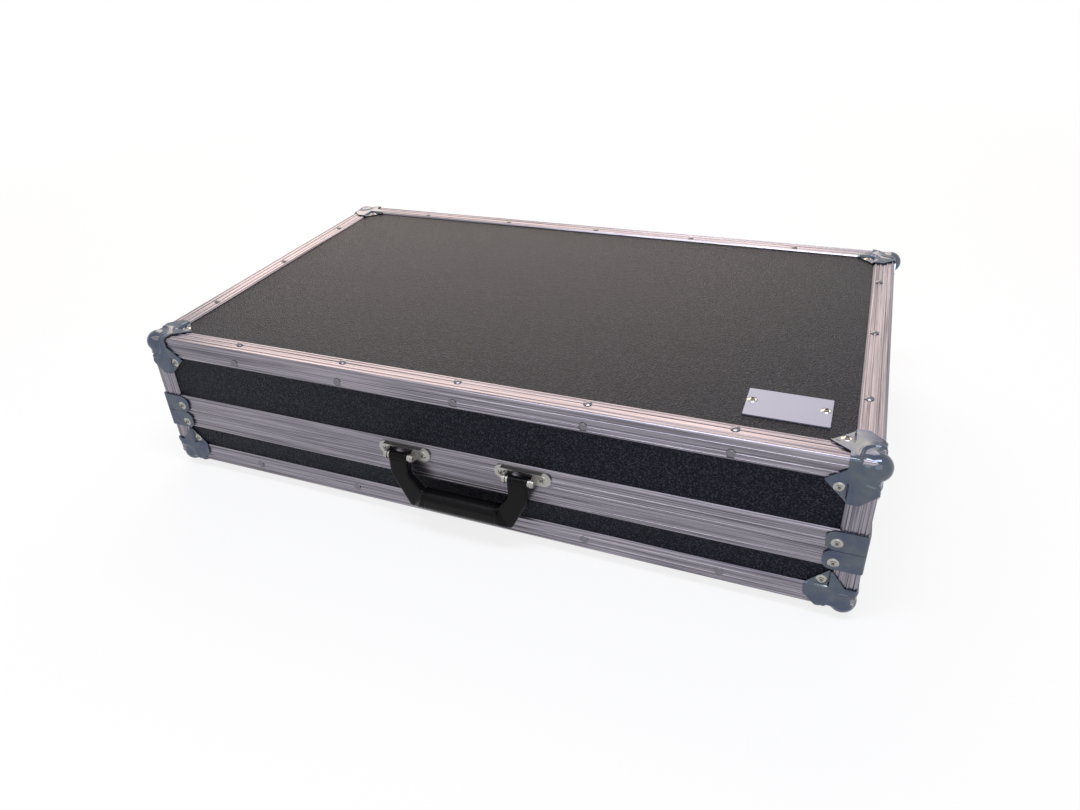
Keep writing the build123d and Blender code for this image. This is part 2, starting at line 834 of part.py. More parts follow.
def latch_wing():
    """The folding wing: a half disc notched into two lobes, on a barrel between the lugs."""
    neck_half = lug_inner - latch_gap
    disc = Circle(wing_radius) - Pos(0, -wing_radius) * Circle(wing_notch_radius)
    disc &= Pos(0, -wing_radius - wing_root) * Rectangle(2 * wing_radius, 2 * wing_radius)
    disc += Pos(0, -wing_root) * Rectangle(2 * neck_half, 2 * wing_root)
    back = half_length - wing_front - wing_thickness
    face = Plane(origin=(back, 0, boss_z), x_dir=(0, 1, 0), z_dir=(1, 0, 0))
    wing = extrude(face * disc, amount=wing_thickness)
    wing += bar_on_wing_axis(wing_barrel_radius, 2 * neck_half)
    return wing + bar_on_wing_axis(wing_trunnion_radius, 2 * (lug_inner + lug_thickness))


def latch_claw():
    """The sliding claw: a slotted plate behind the boss that reaches up in front of the strike."""
    middle = base_height + (claw_tip - claw_tail) / 2
    plate = RectangleRounded(2 * claw_half_width, claw_tail + claw_tip, claw_tip_radius)
    slot_width = 2 * (boss_shaft_radius + claw_slot_clearance)
    slot = SlotOverall(claw_travel + slot_width, slot_width, 90)
    plate -= Pos(0, boss_z - claw_travel / 2 - middle) * slot
    back = half_length - claw_front - claw_thickness
    face = Plane(origin=(back, 0, middle), x_dir=(0, 1, 0), z_dir=(1, 0, 0))
    return extrude(face * plate, amount=claw_thickness)


def strike():
    """The lug on the floor of the lid's dish that the claw holds."""
    low = lid_bottom + strike_rise
    width = (-strike_half_width, strike_half_width)
    return block(at_depth(strike_front, pan_floor), width, (low, low + strike_height))


# Feet and their screws
def rubber_foot():
    """A tapered rubber foot, bored from below, with its top on the floor board."""
    full_height = foot_height + edge_wall
    foot = Cone(foot_radius - foot_taper, foot_radius, full_height)
    foot = Pos(0, 0, edge_wall - full_height / 2) * foot
    foot -= Pos(0, 0, foot_bore_depth / 2 - foot_height) * Cylinder(foot_bore_radius, foot_bore_depth)
    return foot - foot_screw_hole()


def foot_screw_hole():
    """The hole for a foot's screw, from the bore into the floor board."""
    middle = foot_bore_depth - foot_height + foot_screw_length / 2
    radius = foot_screw_radius + screw_clearance
    return Pos(0, 0, middle) * Cylinder(radius, foot_screw_length + 2 * screw_clearance)


def foot_screw():
    """A flat-headed screw whose head lies against the end of the foot's bore."""
    seat = foot_bore_depth - foot_height
    head = Cylinder(foot_screw_head_radius, foot_screw_head_height)
    shank = Cylinder(foot_screw_radius, foot_screw_length)
    return Pos(0, 0, seat - foot_screw_head_height / 2) * head + Pos(0, 0, seat + foot_screw_length / 2) * shank


foot_places = [
    (side_x * (half_length - foot_inset_x), side_y * (half_width - foot_inset_y))
    for side_x in (-1, 1)
    for side_y in (-1, 1)
]


# Foam
def foam_ring(low, high):
    """Four foam walls in one loop, with a pocket behind each latch."""
    outer_x = half_length - rail_inside - foam_clearance
    outer_y = half_width - rail_inside - foam_clearance
    inner_x = outer_x - foam_wall_thickness
    inner_y = outer_y - foam_wall_thickness
    ring = block((-outer_x, outer_x), (-outer_y, outer_y), (low, high))
    ring -= block((-inner_x, inner_x), (-inner_y, inner_y), (low - overshoot, high + overshoot))
    pocket_half = dish_width / 2 - dish_rim_side + 2 * foam_clearance
    pocket_end = dish_height - dish_rim_end + 2 * foam_clearance
    pocket_x = at_depth(0, tail_back + foam_clearance)
    for level, away in ((base_height, -1), (lid_bottom, 1)):
        pocket = block(pocket_x, (-pocket_half, pocket_half), rise(level, away, 0, pocket_end))
        for image in at_ends(pocket):
            ring -= image
    return ring


def foam_slab(inset, low, high):
    """A flat foam sheet that lies just inside a given distance from the outer faces."""
    x = half_length - inset - foam_clearance
    y = half_width - inset - foam_clearance
    return block((-x, x), (-y, y), (low, high))


def near(shape, tools):
    """The tools whose boxes meet the shape's box."""
    box = shape.bounding_box()
    found = []
    for tool in tools:
        other = tool.bounding_box()
        apart = (
            other.min.X > box.max.X or other.max.X < box.min.X
            or other.min.Y > box.max.Y or other.max.Y < box.min.Y
            or other.min.Z > box.max.Z or other.max.Z < box.min.Z
        )
        if not apart:
            found.append(tool)
    return found


def cut(shapes, tools):
    """Each shape less the tools that reach it."""
    results = []
    for shape in shapes:
        reached = near(shape, tools)
        results.append(shape - reached if reached else shape)
    return results


# Base
base_flat, base_front, base_right = boards(edge_wall, board_inside, base_height - base_web)
base_long, base_short = edge_pair(0, 1)
base_rail_front, base_rail_right = rail_pair(base_rail_profile(), base_height, -1)
base_post = post(edge_leg, base_height - rail_height)

base_edge_sites = edge_sites(0, -1, base_rivet_inset)
base_flange_sites = flange_sites(0, -1)
base_dish_sites = dish_sites(base_height - dish_height + dish_rivet_inset)
base_brace_level = base_height - base_brace_rivet_drop
base_brace_sites = brace_sites(base_brace_level)
base_hinge_sites = hinge_sites(base_height - hinge_rivet_height)
base_holes = placed(drill(board_shank), base_edge_sites + base_flange_sites + base_dish_sites)
base_holes += placed(drill(rail_shank), base_brace_sites + base_hinge_sites)
base_tools = base_holes + at_corners(corner_cutter(0, -1)) + at_ends(dish_hole(base_height, -1))
screw_holes = [Pos(x, y, 0) * foot_screw_hole() for x, y in foot_places]

nodes["base_floor_board"] = cut([base_flat], base_tools + screw_holes)
nodes["base_front_board"] = cut([base_front], base_tools)
nodes["base_back_board"] = cut([mirror(base_front, about=Plane.XZ)], base_tools)
nodes["base_right_board"] = cut([base_right], base_tools)
nodes["base_left_board"] = cut([mirror(base_right, about=Plane.YZ)], base_tools)
nodes["base_long_edges"] = cut(at_sides(base_long), base_tools)
nodes["base_short_edges"] = cut(at_ends(base_short), base_tools)
nodes["base_corner_posts"] = cut(at_corners(base_post), base_tools)
nodes["base_front_rail"] = cut([base_rail_front], base_tools)
nodes["base_back_rail"] = cut([mirror(base_rail_front, about=Plane.XZ)], base_tools)
nodes["base_right_rail"] = cut([base_rail_right], base_tools)
nodes["base_left_rail"] = cut([mirror(base_rail_right, about=Plane.YZ)], base_tools)
nodes["base_ball_corners"] = cut(at_corners(corner_place(0, -1)), base_holes)
base_brace = brace(base_height - rail_height, base_height, base_brace_level)
nodes["base_corner_braces"] = cut(at_corners(base_brace), base_holes)
nodes["base_edge_rivets"] = placed(rivet(board_shank, rivet_head_radius), base_edge_sites)
nodes["base_blind_rivets"] = blind_rivets(base_flange_sites, base_brace_sites, wide_head_radius)
nodes["base_blind_rivets"] += blind_rivets(base_dish_sites, base_hinge_sites, narrow_head_radius)
nodes["rubber_feet"] = [Pos(x, y, 0) * rubber_foot() for x, y in foot_places]
nodes["foot_screws"] = [Pos(x, y, 0) * foot_screw() for x, y in foot_places]
nodes["base_hinge_leaves"] = cut(hinge_strip(base_height, -1, 0, press_clearance), base_holes)
nodes["hinge_pins"] = hinge_pins(base_height)

floor_foam_low = board_inside + foam_clearance
wall_foam_inside = rail_inside + foam_clearance + foam_wall_thickness
base_slab = foam_slab(wall_foam_inside, floor_foam_low, floor_foam_low + base_foam_floor_thickness)
nodes["base_floor_foam"] = [base_slab]
nodes["base_wall_foam"] = [foam_ring(floor_foam_low, base_height - foam_seam_drop)]

boss_bore = bar_at_depth(boss_shaft_radius + running_clearance, pan_floor - overshoot, tail_front)
right_dish = dish(base_height, -1) - boss_bore
nodes["right_latch_dish"] = cut([right_dish], base_holes)
nodes["left_latch_dish"] = cut([mirror(right_dish, about=Plane.YZ)], base_holes)

# Lid
lid_wall_low = lid_bottom + lid_groove_depth + lid_web
lid_board_low = case_height - board_inside
lid_flat, lid_front, lid_right = boards(lid_board_low, lid_wall_low, lid_board_low)
lid_long, lid_short = edge_pair(case_height, -1)
lid_rail_front, lid_rail_right = rail_pair(lid_rail_profile(), lid_bottom, 1)
lid_post = post(lid_bottom + rail_height, case_height - edge_leg)

plate_top = case_height - edge_wall + plate_thickness
lid_edge_sites = edge_sites(case_height, 1, lid_rivet_inset)
lid_flange_sites = flange_sites(case_height, 1) + name_plate_sites(plate_top)
lid_dish_sites = dish_sites(lid_bottom + dish_height - dish_rivet_inset)
lid_brace_level = lid_bottom + lid_brace_rivet_rise
lid_brace_sites = brace_sites(lid_brace_level)
lid_fitting_sites = bracket_sites() + hinge_sites(lid_bottom + hinge_rivet_height)
lid_holes = placed(drill(board_shank), lid_edge_sites + lid_flange_sites + lid_dish_sites)
lid_holes += placed(drill(rail_shank), lid_brace_sites + lid_fitting_sites)
lid_tools = lid_holes + at_corners(corner_cutter(case_height, 1)) + at_ends(dish_hole(lid_bottom, 1))

nodes["lid_top_board"] = cut([lid_flat], lid_tools)
nodes["lid_front_board"] = cut([lid_front], lid_tools)
nodes["lid_back_board"] = cut([mirror(lid_front, about=Plane.XZ)], lid_tools)
nodes["lid_right_board"] = cut([lid_right], lid_tools)
nodes["lid_left_board"] = cut([mirror(lid_right, about=Plane.YZ)], lid_tools)
nodes["lid_long_edges"] = cut(at_sides(lid_long), lid_tools)
nodes["lid_short_edges"] = cut(at_ends(lid_short), lid_tools)
nodes["lid_corner_posts"] = cut(at_corners(lid_post), lid_tools)
nodes["lid_front_rail"] = cut([lid_rail_front], lid_tools)
nodes["lid_back_rail"] = cut([mirror(lid_rail_front, about=Plane.XZ)], lid_tools)
nodes["lid_right_rail"] = cut([lid_rail_right], lid_tools)
nodes["lid_left_rail"] = cut([mirror(lid_rail_right, about=Plane.YZ)], lid_tools)
nodes["lid_ball_corners"] = cut(at_corners(corner_place(case_height, 1)), lid_holes)
lid_brace = brace(lid_bottom, lid_bottom + rail_height, lid_brace_level)
nodes["lid_corner_braces"] = cut(at_corners(lid_brace), lid_holes)
nodes["lid_edge_rivets"] = placed(rivet(board_shank, rivet_head_radius), lid_edge_sites)
nodes["lid_blind_rivets"] = blind_rivets(lid_flange_sites, lid_brace_sites, wide_head_radius)
nodes["lid_blind_rivets"] += blind_rivets(lid_dish_sites, lid_fitting_sites, narrow_head_radius)
nodes["lid_hinge_leaves"] = cut(hinge_strip(base_height, 1, 1, running_clearance), lid_holes)
nodes["name_plate"] = cut([name_plate(plate_top)], lid_holes)
nodes["handle_brackets"] = cut([Pos(x, 0, 0) * bracket() for x in bracket_places()], lid_holes)
nodes["handle_pins"] = [Pos(x, 0, 0) * handle_pin() for x in bracket_places()]

lid_foam_low = lid_board_low - foam_clearance - lid_foam_thickness
nodes["lid_top_foam"] = [foam_slab(board_inside, lid_foam_low, lid_foam_low + lid_foam_thickness)]
nodes["lid_wall_foam"] = [foam_ring(lid_bottom + foam_seam_drop, lid_foam_low - foam_clearance)]

right_strike_dish = dish(lid_bottom, 1) + strike()
nodes["right_strike_dish"] = cut([right_strike_dish], lid_holes)
nodes["left_strike_dish"] = cut([mirror(right_strike_dish, about=Plane.YZ)], lid_holes)

# Handle and latches
nodes["handle_moulding"] = [handle_moulding()]
nodes["handle_sleeves"] = handle_sleeves()
for name, piece in (("boss", latch_boss()), ("wing", latch_wing()), ("claw", latch_claw())):
    nodes["right_latch_" + name] = [piece]
    nodes["left_latch_" + name] = [mirror(piece, about=Plane.YZ)]

os.makedirs("parts", exist_ok=True)
placing = Pos(0, body_shift, foot_height)
for node, pieces in nodes.items():
    solids = [solid for piece in pieces for solid in (placing * piece).solids()]
    export_step(Compound(children=solids), f"parts/{node}.step")
print("nodes", len(nodes), "body shift", body_shift)
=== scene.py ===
"""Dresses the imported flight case: finishes, ball corners, handle, foam, lights and camera."""
import math

import bmesh
import bpy
import numpy as np
from bpy.props import FloatProperty, FloatVectorProperty, PointerProperty
from mathutils import Matrix, Vector


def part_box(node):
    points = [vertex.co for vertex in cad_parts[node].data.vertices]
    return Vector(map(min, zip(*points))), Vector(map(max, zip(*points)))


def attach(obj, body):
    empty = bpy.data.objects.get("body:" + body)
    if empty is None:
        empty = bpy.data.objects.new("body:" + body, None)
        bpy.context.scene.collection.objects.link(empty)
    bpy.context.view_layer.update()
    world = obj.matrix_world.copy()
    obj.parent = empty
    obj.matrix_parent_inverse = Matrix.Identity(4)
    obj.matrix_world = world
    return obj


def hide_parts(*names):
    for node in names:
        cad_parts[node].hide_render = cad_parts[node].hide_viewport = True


bl_info = {
    "name": "Flight case dressing",
    "version": (1, 0, 0),
    "blender": (4, 5, 0),
    "location": "3D View > Sidebar > Flight case",
    "description": "Finishes and detail pieces for a low flight case",
    "category": "Object",
}

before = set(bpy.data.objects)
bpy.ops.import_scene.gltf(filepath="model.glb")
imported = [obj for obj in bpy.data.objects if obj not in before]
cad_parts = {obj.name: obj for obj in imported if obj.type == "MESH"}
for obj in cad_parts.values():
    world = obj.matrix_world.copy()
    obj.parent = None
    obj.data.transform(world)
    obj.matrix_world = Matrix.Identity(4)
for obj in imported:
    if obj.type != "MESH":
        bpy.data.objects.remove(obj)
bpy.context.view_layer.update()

MM = 0.001

# The case body as in the CAD part, in millimetres
HALF_LENGTH = 365.0
HALF_WIDTH = 222.5
CASE_HEIGHT = 155.0
BODY_BACK = 6.25
BODY_RISE = 10.0


def linear(code):
    """Turns an sRGB hex colour into linear red, green and blue."""
    levels = [int(code[place:place + 2], 16) / 255 for place in (1, 3, 5)]
    return tuple(c / 12.92 if c <= 0.04045 else ((c + 0.055) / 1.055) ** 2.4 for c in levels)


def colour(name, description, code):
    """A colour property whose default is an sRGB hex colour."""
    return FloatVectorProperty(
        name=name, description=description, subtype="COLOR", size=3, min=0.0, max=1.0,
        default=linear(code),
    )


def length(name, description, value):
    """A length property whose default is given in millimetres."""
    return FloatProperty(name=name, description=description, unit="LENGTH", default=value * MM)


class FinishSettings(bpy.types.PropertyGroup):
    """Colours of the finishes."""

    laminate_dark: colour("Laminate ground", "Ground colour of the grained laminate", "#060609")
    # The grain's tip colour is a painted highlight: the raised tips of the laminate's grain are painted
    # lighter than the ground
    laminate_tip_highlight: colour("Laminate grain", "Colour on the tips of the laminate's grain", "#37363f")
    laminate_sheen: colour("Laminate sheen", "Blue tint of the laminate's reflection", "#c4d4ff")
    aluminium: colour("Aluminium", "Mill-finish aluminium of the extrusions", "#a29da6")
    aluminium_dull: colour("Aluminium oxide", "Duller streaks of the mill finish", "#524e58")
    zinc: colour("Zinc plate", "Bright zinc plating of corners, braces and fittings", "#50576a")
    zinc_tint: colour("Zinc passivation", "Faint paler bloom in the plating", "#5e656c")
    nickel: colour("Nickel plate", "Brackets, pins and blind rivets", "#a8a6a2")
    rivet: colour("Edge rivets", "Domed steel rivets along the edges", "#75747a")
    plastic: colour("Handle plastic", "Satin black nylon of the handle", "#050507")
    plate: colour("Name plate", "Satin anodised aluminium of the plate", "#9699ab")
    rubber: colour("Rubber", "Black rubber of the feet", "#151515")
    foam: colour("Foam", "Charcoal polyether foam of the lining", "#26272b")


class CornerSettings(bpy.types.PropertyGroup):
    """Sizes of the pressed ball corners."""

    ball_radius: length("Ball radius", "Outer radius of the ball", 11.8)
    near_inset: length("Near inset", "From the case's end to the ball's centre, along the notched leg", 4.5)
    far_inset: length("Far inset", "From a face to the ball's centre, along the other two legs", 9.4)
    sheet: length("Sheet", "Thickness of the pressed steel", 1.4)
    collar_height: length("Collar height", "How far the pressed ring stands up", 0.8)


class HandleSettings(bpy.types.PropertyGroup):
    """Sizes of the handle moulding."""

    arm_depth: length("Arm depth", "Thickness of each arm, front to back", 9.0)
    grip_depth: length("Grip depth", "Thickness of the grip, front to back", 18.0)
    grip_height: length("Grip height", "Height of the grip", 21.0)
    drop: length("Drop", "From the pins down to the bottom of the grip", 56.4)


class FoamSettings(bpy.types.PropertyGroup):
    """Form of the foam lining."""

    crown: length("Crown", "How much fuller the middle of a sheet is than its edge", 1.2)
    edge_radius: length("Edge radius", "Softness of the cut edges", 3.0)


class StageSettings(bpy.types.PropertyGroup):
    """Camera and lights."""

    heading: FloatProperty(
        name="Heading", description="Turn of the view from the depth axis towards the left",
        subtype="ANGLE", default=math.radians(24.53),
    )
    tilt: FloatProperty(
        name="Tilt", description="How far the view points down",
        subtype="ANGLE", default=math.radians(31.11),
    )
    roll: FloatProperty(
        name="Roll", description="How far the right side of the view dips",
        subtype="ANGLE", default=math.radians(3.577),
    )
    lens: FloatProperty(name="Lens", description="Focal length in millimetres", default=26.753)
    key_power: FloatProperty(name="Softbox", description="Power of the large softbox", default=34.0)
    fill_power: FloatProperty(name="Fill", description="Power of the front fill", default=5.0)
    strip_power: FloatProperty(name="Strip", description="Power of the strip overhead", default=22.0)


# Building surfaces
def smoothstep(low, high, value):
    """0 below low, 1 above high, and 3t^2 - 2t^3 of the share t between them."""
    share = np.clip((value - low) / (high - low), 0, 1)
    return share * share * (3 - 2 * share)


def grid_faces(rows, columns, closed=False):
    """Quads of a grid of rows by columns; closed joins the last column to the first."""
    across = columns if closed else columns - 1
    row, column = np.meshgrid(np.arange(rows - 1), np.arange(across), indexing="ij")
    here = row * columns + column
    beside = row * columns + (column + 1) % columns
    return np.stack([here, beside, beside + columns, here + columns], axis=-1).reshape(-1, 4)


def patch(points, inside, closed=False):
    """Vertices and quads of a grid of points, wound so that its faces look away from inside."""
    rows, columns, _ = points.shape
    vertices = points.reshape(-1, 3)
    faces = grid_faces(rows, columns, closed)
    corners = vertices[faces]
    normals = np.cross(corners[:, 2] - corners[:, 0], corners[:, 3] - corners[:, 1])
    outward = (normals * (corners.mean(axis=1) - np.asarray(inside))).sum()
    if outward < 0:
        faces = faces[:, ::-1]
    return vertices, faces


def build(name, patches, weld=0.002):
    """One mesh object in metres from patches in millimetres, with near points welded."""
    vertices = []
    faces = []
    count = 0
    for points, quads in patches:
        vertices.append(points)
        faces.append(quads + count)
        count += len(points)
    mesh = bpy.data.meshes.new(name)
    mesh.from_pydata((np.concatenate(vertices) * MM).tolist(), [], np.concatenate(faces).tolist())
    shape = bmesh.new()
    shape.from_mesh(mesh)
    bmesh.ops.remove_doubles(shape, verts=shape.verts, dist=weld * MM)
    bmesh.ops.dissolve_degenerate(shape, edges=shape.edges, dist=weld * MM)
    shape.to_mesh(mesh)
    shape.free()
    mesh.shade_smooth()
    thing = bpy.data.objects.new(name, mesh)
    bpy.context.scene.collection.objects.link(thing)
    return thing


def to_case(points):
    """Points given in the case's own frame, moved into the shared frame."""
    return points + np.array([0.0, BODY_BACK, BODY_RISE])


# Materials

# How light a finish's second tone is beside its first: the plate's lines, rubber's dust, and the painted
# shade in the foam's pores
BRUSHED_SHARE = (0.88, 0.88, 0.9)
DUSTY_SHARE = 2.2
PORE_SHADE_SHARE = 0.35


def add(tree, kind, inputs=None, **settings):
    """Adds one node, sets its properties, and fills its sockets with values or links."""
    node = tree.nodes.new(kind)
    for name, value in settings.items():
        setattr(node, name, value)
    for key, value in (inputs or {}).items():
        if isinstance(value, bpy.types.NodeSocket):
            tree.links.new(value, node.inputs[key])
        else:
            node.inputs[key].default_value = value
    return node


def start_material(name):
    """A new material with an empty node tree, and its shader and object coordinates."""
    material = bpy.data.materials.new(name)
    material.use_nodes = True
    tree = material.node_tree
    tree.nodes.clear()
    shader = add(tree, "ShaderNodeBsdfPrincipled")
    add(tree, "ShaderNodeOutputMaterial", {"Surface": shader.outputs["BSDF"]})
    place = add(tree, "ShaderNodeTexCoord").outputs["Object"]
    return material, tree, shader, place


def opaque(rgb, share=1.0):
    """A colour property, made lighter or darker by a share, with full alpha."""
    return (*(channel * share for channel in rgb), 1.0)


def dress(material, *nodes):
    """Puts the material on these CAD nodes."""
    for node in nodes:
        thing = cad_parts[node]
        thing.data.materials.clear()
        thing.data.materials.append(material)


def per_metre(size):
    """The texture scale at which one cell of a pattern is this many millimetres."""
    return 1 / (size * MM)


def blend_colours(tree, factor, first, second):
    """A colour between two by a factor."""
    mix = add(tree, "ShaderNodeMix", data_type="RGBA")
    for key, value in ((0, factor), (6, first), (7, second)):
        if isinstance(value, bpy.types.NodeSocket):
            tree.links.new(value, mix.inputs[key])
        else:
            mix.inputs[key].default_value = value
    return mix.outputs[2]


def set_inputs(tree, shader, inputs):
    """Fills sockets of the shader with values or links."""
    for key, value in inputs.items():
        if isinstance(value, bpy.types.NodeSocket):
            tree.links.new(value, shader.inputs[key])
        else:
            shader.inputs[key].default_value = value


def laminate(finish):
    """Phenolic laminate on plywood, embossed with a fine hammered grain.

    The grain is about 1.6 mm across, and its raised tips carry a painted highlight, a lighter colour, so at
    arm's length it shows as light and dark flecks.
    """
    material, tree, shader, place = start_material("grained_phenolic_laminate")
    cells = add(tree, "ShaderNodeTexVoronoi", {"Vector": place, "Scale": per_metre(1.6)})
    fine = add(tree, "ShaderNodeTexNoise", {
        "Vector": place, "Scale": per_metre(1.5), "Detail": 3.0, "Roughness": 0.7,
    })
    # Painted highlight: where the fine grain stands high, the colour moves from the ground to the lighter
    # tip colour
    flecks = add(tree, "ShaderNodeMapRange", {
        "Value": fine.outputs["Fac"], "From Min": 0.5, "From Max": 0.64,
    })
    ground = blend_colours(
        tree, flecks.outputs["Result"], opaque(finish.laminate_dark), opaque(finish.laminate_tip_highlight),
    )
    relief = add(tree, "ShaderNodeMath", {0: cells.outputs["Distance"], 1: fine.outputs["Fac"]},
                 operation="ADD")
    bump = add(tree, "ShaderNodeBump", {
        "Height": relief.outputs["Value"], "Strength": 1.0, "Distance": 0.5 * MM,
    })
    set_inputs(tree, shader, {
        "Base Color": ground, "Roughness": 0.36, "Specular IOR Level": 0.14,
        "Specular Tint": opaque(finish.laminate_sheen),
        "Normal": bump.outputs["Normal"],
    })
    return material


def aluminium(name, finish, run):
    """Mill-finish aluminium extrusion: light and dull die lines along its run.

    run is the axis along which it was drawn: the die lines are long on it and 1.1 mm apart.
    """
    material, tree, shader, place = start_material(name)
    stretch = [1.0, 1.0, 1.0]
    stretch[run] = 0.006
    drawn = add(tree, "ShaderNodeMapping", {"Vector": place, "Scale": stretch})
    lines = add(tree, "ShaderNodeTexNoise", {
        "Vector": drawn.outputs["Vector"], "Scale": per_metre(1.1), "Detail": 4.0, "Roughness": 0.7,
    })
    shade = add(tree, "ShaderNodeMapRange", {
        "Value": lines.outputs["Fac"], "From Min": 0.36, "From Max": 0.62,
    })
    tint = blend_colours(
        tree, shade.outputs["Result"], opaque(finish.aluminium_dull), opaque(finish.aluminium),
    )
    rough = add(tree, "ShaderNodeMapRange", {
        "Value": lines.outputs["Fac"], "To Min": 0.22, "To Max": 0.4,
    })
    bump = add(tree, "ShaderNodeBump", {
        "Height": lines.outputs["Fac"], "Strength": 0.25, "Distance": 0.08 * MM,
    })
    set_inputs(tree, shader, {
        "Base Color": tint, "Metallic": 1.0, "Roughness": rough.outputs["Result"],
        "Normal": bump.outputs["Normal"],
    })
    return material


def plating(name, base, tint, low, high):
    """Plated pressed steel: smooth, with faint spangle and a passivation bloom.

    The bloom drifts over about 14 mm and the rolled grain under the plate is about 1 mm.
    """
    material, tree, shader, place = start_material(name)
    bloom = add(tree, "ShaderNodeTexNoise", {"Vector": place, "Scale": per_metre(14.0), "Detail": 3.0})
    grain = add(tree, "ShaderNodeTexNoise", {
        "Vector": place, "Scale": per_metre(1.1), "Detail": 3.0, "Roughness": 0.6,
    })
    spangle = add(tree, "ShaderNodeMapRange", {
        "Value": bloom.outputs["Fac"], "From Min": 0.35, "From Max": 0.65,
    })
    ground = blend_colours(tree, spangle.outputs["Result"], opaque(base), opaque(tint))
    rough = add(tree, "ShaderNodeMapRange", {
        "Value": grain.outputs["Fac"], "From Min": 0.3, "From Max": 0.7, "To Min": low, "To Max": high,
    })
    bump = add(tree, "ShaderNodeBump", {
        "Height": grain.outputs["Fac"], "Strength": 0.12, "Distance": 0.1 * MM,
    })
    set_inputs(tree, shader, {
        "Base Color": ground, "Metallic": 1.0, "Roughness": rough.outputs["Result"],
        "Normal": bump.outputs["Normal"],
    })
    return material


def handle_plastic(finish):
    """Moulded black nylon: satin arms with a fine spark texture and a pebbled grip.

    The pebbles are about 1.2 mm across and cover the grip between its two end grooves.
    """
    material, tree, shader, place = start_material("moulded_black_nylon")
    apart = add(tree, "ShaderNodeSeparateXYZ", {"Vector": place})
    from_middle = add(tree, "ShaderNodeMath", {0: apart.outputs["X"], 1: HANDLE_OFFSET * MM},
                      operation="SUBTRACT")
    side = add(tree, "ShaderNodeMath", {0: from_middle.outputs["Value"]}, operation="ABSOLUTE")
    on_grip = add(tree, "ShaderNodeMapRange", {
        "Value": side.outputs["Value"],
        "From Min": (GROOVE_PLACE + PEBBLE_FADE) * MM, "From Max": GROOVE_PLACE * MM,
    })
    pebbles = add(tree, "ShaderNodeTexVoronoi", {"Vector": place, "Scale": per_metre(1.2)})
    spark = add(tree, "ShaderNodeTexNoise", {"Vector": place, "Scale": per_metre(0.5), "Detail": 2.0})
    relief = add(tree, "ShaderNodeMath", {
        0: pebbles.outputs["Distance"], 1: on_grip.outputs["Result"],
    }, operation="MULTIPLY")
    coarse = add(tree, "ShaderNodeBump", {
        "Height": relief.outputs["Value"], "Strength": 0.7, "Distance": 0.35 * MM,
    })
    bump = add(tree, "ShaderNodeBump", {
        "Height": spark.outputs["Fac"], "Strength": 0.15, "Distance": 0.08 * MM,
        "Normal": coarse.outputs["Normal"],
    })
    rough = add(tree, "ShaderNodeMapRange", {
        "Value": on_grip.outputs["Result"], "To Min": 0.24, "To Max": 0.32,
    })
    set_inputs(tree, shader, {
        "Base Color": opaque(finish.plastic), "Roughness": rough.outputs["Result"],
        "Specular IOR Level": 0.12, "Normal": bump.outputs["Normal"],
    })
    return material


def plate_finish(finish):
    """Satin anodised aluminium plate: brushed along its length, lines 0.4 mm apart."""
    material, tree, shader, place = start_material("satin_anodised_plate")
    drawn = add(tree, "ShaderNodeMapping", {"Vector": place, "Scale": (0.02, 1.0, 1.0)})
    lines = add(tree, "ShaderNodeTexNoise", {
        "Vector": drawn.outputs["Vector"], "Scale": per_metre(0.4), "Detail": 3.0,
    })
    dull = tuple(channel * share for channel, share in zip(finish.plate, BRUSHED_SHARE))
    tint = blend_colours(tree, lines.outputs["Fac"], opaque(dull), opaque(finish.plate))
    rough = add(tree, "ShaderNodeMapRange", {
        "Value": lines.outputs["Fac"], "To Min": 0.4, "To Max": 0.55,
    })
    bump = add(tree, "ShaderNodeBump", {
        "Height": lines.outputs["Fac"], "Strength": 0.15, "Distance": 0.05 * MM,
    })
    set_inputs(tree, shader, {
        "Base Color": tint, "Metallic": 0.35, "Roughness": rough.outputs["Result"],
        "Normal": bump.outputs["Normal"],
    })
    return material


def rubber(finish):
    """Black moulded rubber: matt, with a fine dusty grain of about 0.7 mm."""
    material, tree, shader, place = start_material("moulded_black_rubber")
    grain = add(tree, "ShaderNodeTexNoise", {"Vector": place, "Scale": per_metre(0.7), "Detail": 4.0})
    tint = blend_colours(
        tree, grain.outputs["Fac"], opaque(finish.rubber), opaque(finish.rubber, DUSTY_SHARE),
    )
    bump = add(tree, "ShaderNodeBump", {
        "Height": grain.outputs["Fac"], "Strength": 0.3, "Distance": 0.15 * MM,
    })
    set_inputs(tree, shader, {
        "Base Color": tint, "Roughness": 0.78, "Specular IOR Level": 0.35,
        "Normal": bump.outputs["Normal"],
    })
    return material


def open_foam(finish):
    """Open-cell polyether foam: matt charcoal, with pores drawn at 1.6 mm so that they show, their hollow
    centres darkened as painted shade.
    """
    material, tree, shader, place = start_material("open_cell_foam")
    pores = add(tree, "ShaderNodeTexVoronoi", {"Vector": place, "Scale": per_metre(1.6)})
    fine = add(tree, "ShaderNodeTexNoise", {"Vector": place, "Scale": per_metre(0.9), "Detail": 3.0})
    # Painted shade: each pore's hollow centre is drawn darker than the foam's own colour
    depth = add(tree, "ShaderNodeMapRange", {
        "Value": pores.outputs["Distance"], "From Min": 0.1, "From Max": 0.55,
    })
    tint = blend_colours(
        tree, depth.outputs["Result"], opaque(finish.foam, PORE_SHADE_SHARE), opaque(finish.foam),
    )
    relief = add(tree, "ShaderNodeMath", {0: pores.outputs["Distance"], 1: fine.outputs["Fac"]},
                 operation="ADD")
    bump = add(tree, "ShaderNodeBump", {
        "Height": relief.outputs["Value"], "Strength": 0.8, "Distance": 0.6 * MM,
    })
    set_inputs(tree, shader, {
        "Base Color": tint, "Roughness": 0.95, "Specular IOR Level": 0.15,
        "Sheen Weight": 0.25, "Sheen Roughness": 0.6, "Normal": bump.outputs["Normal"],
    })
    return material


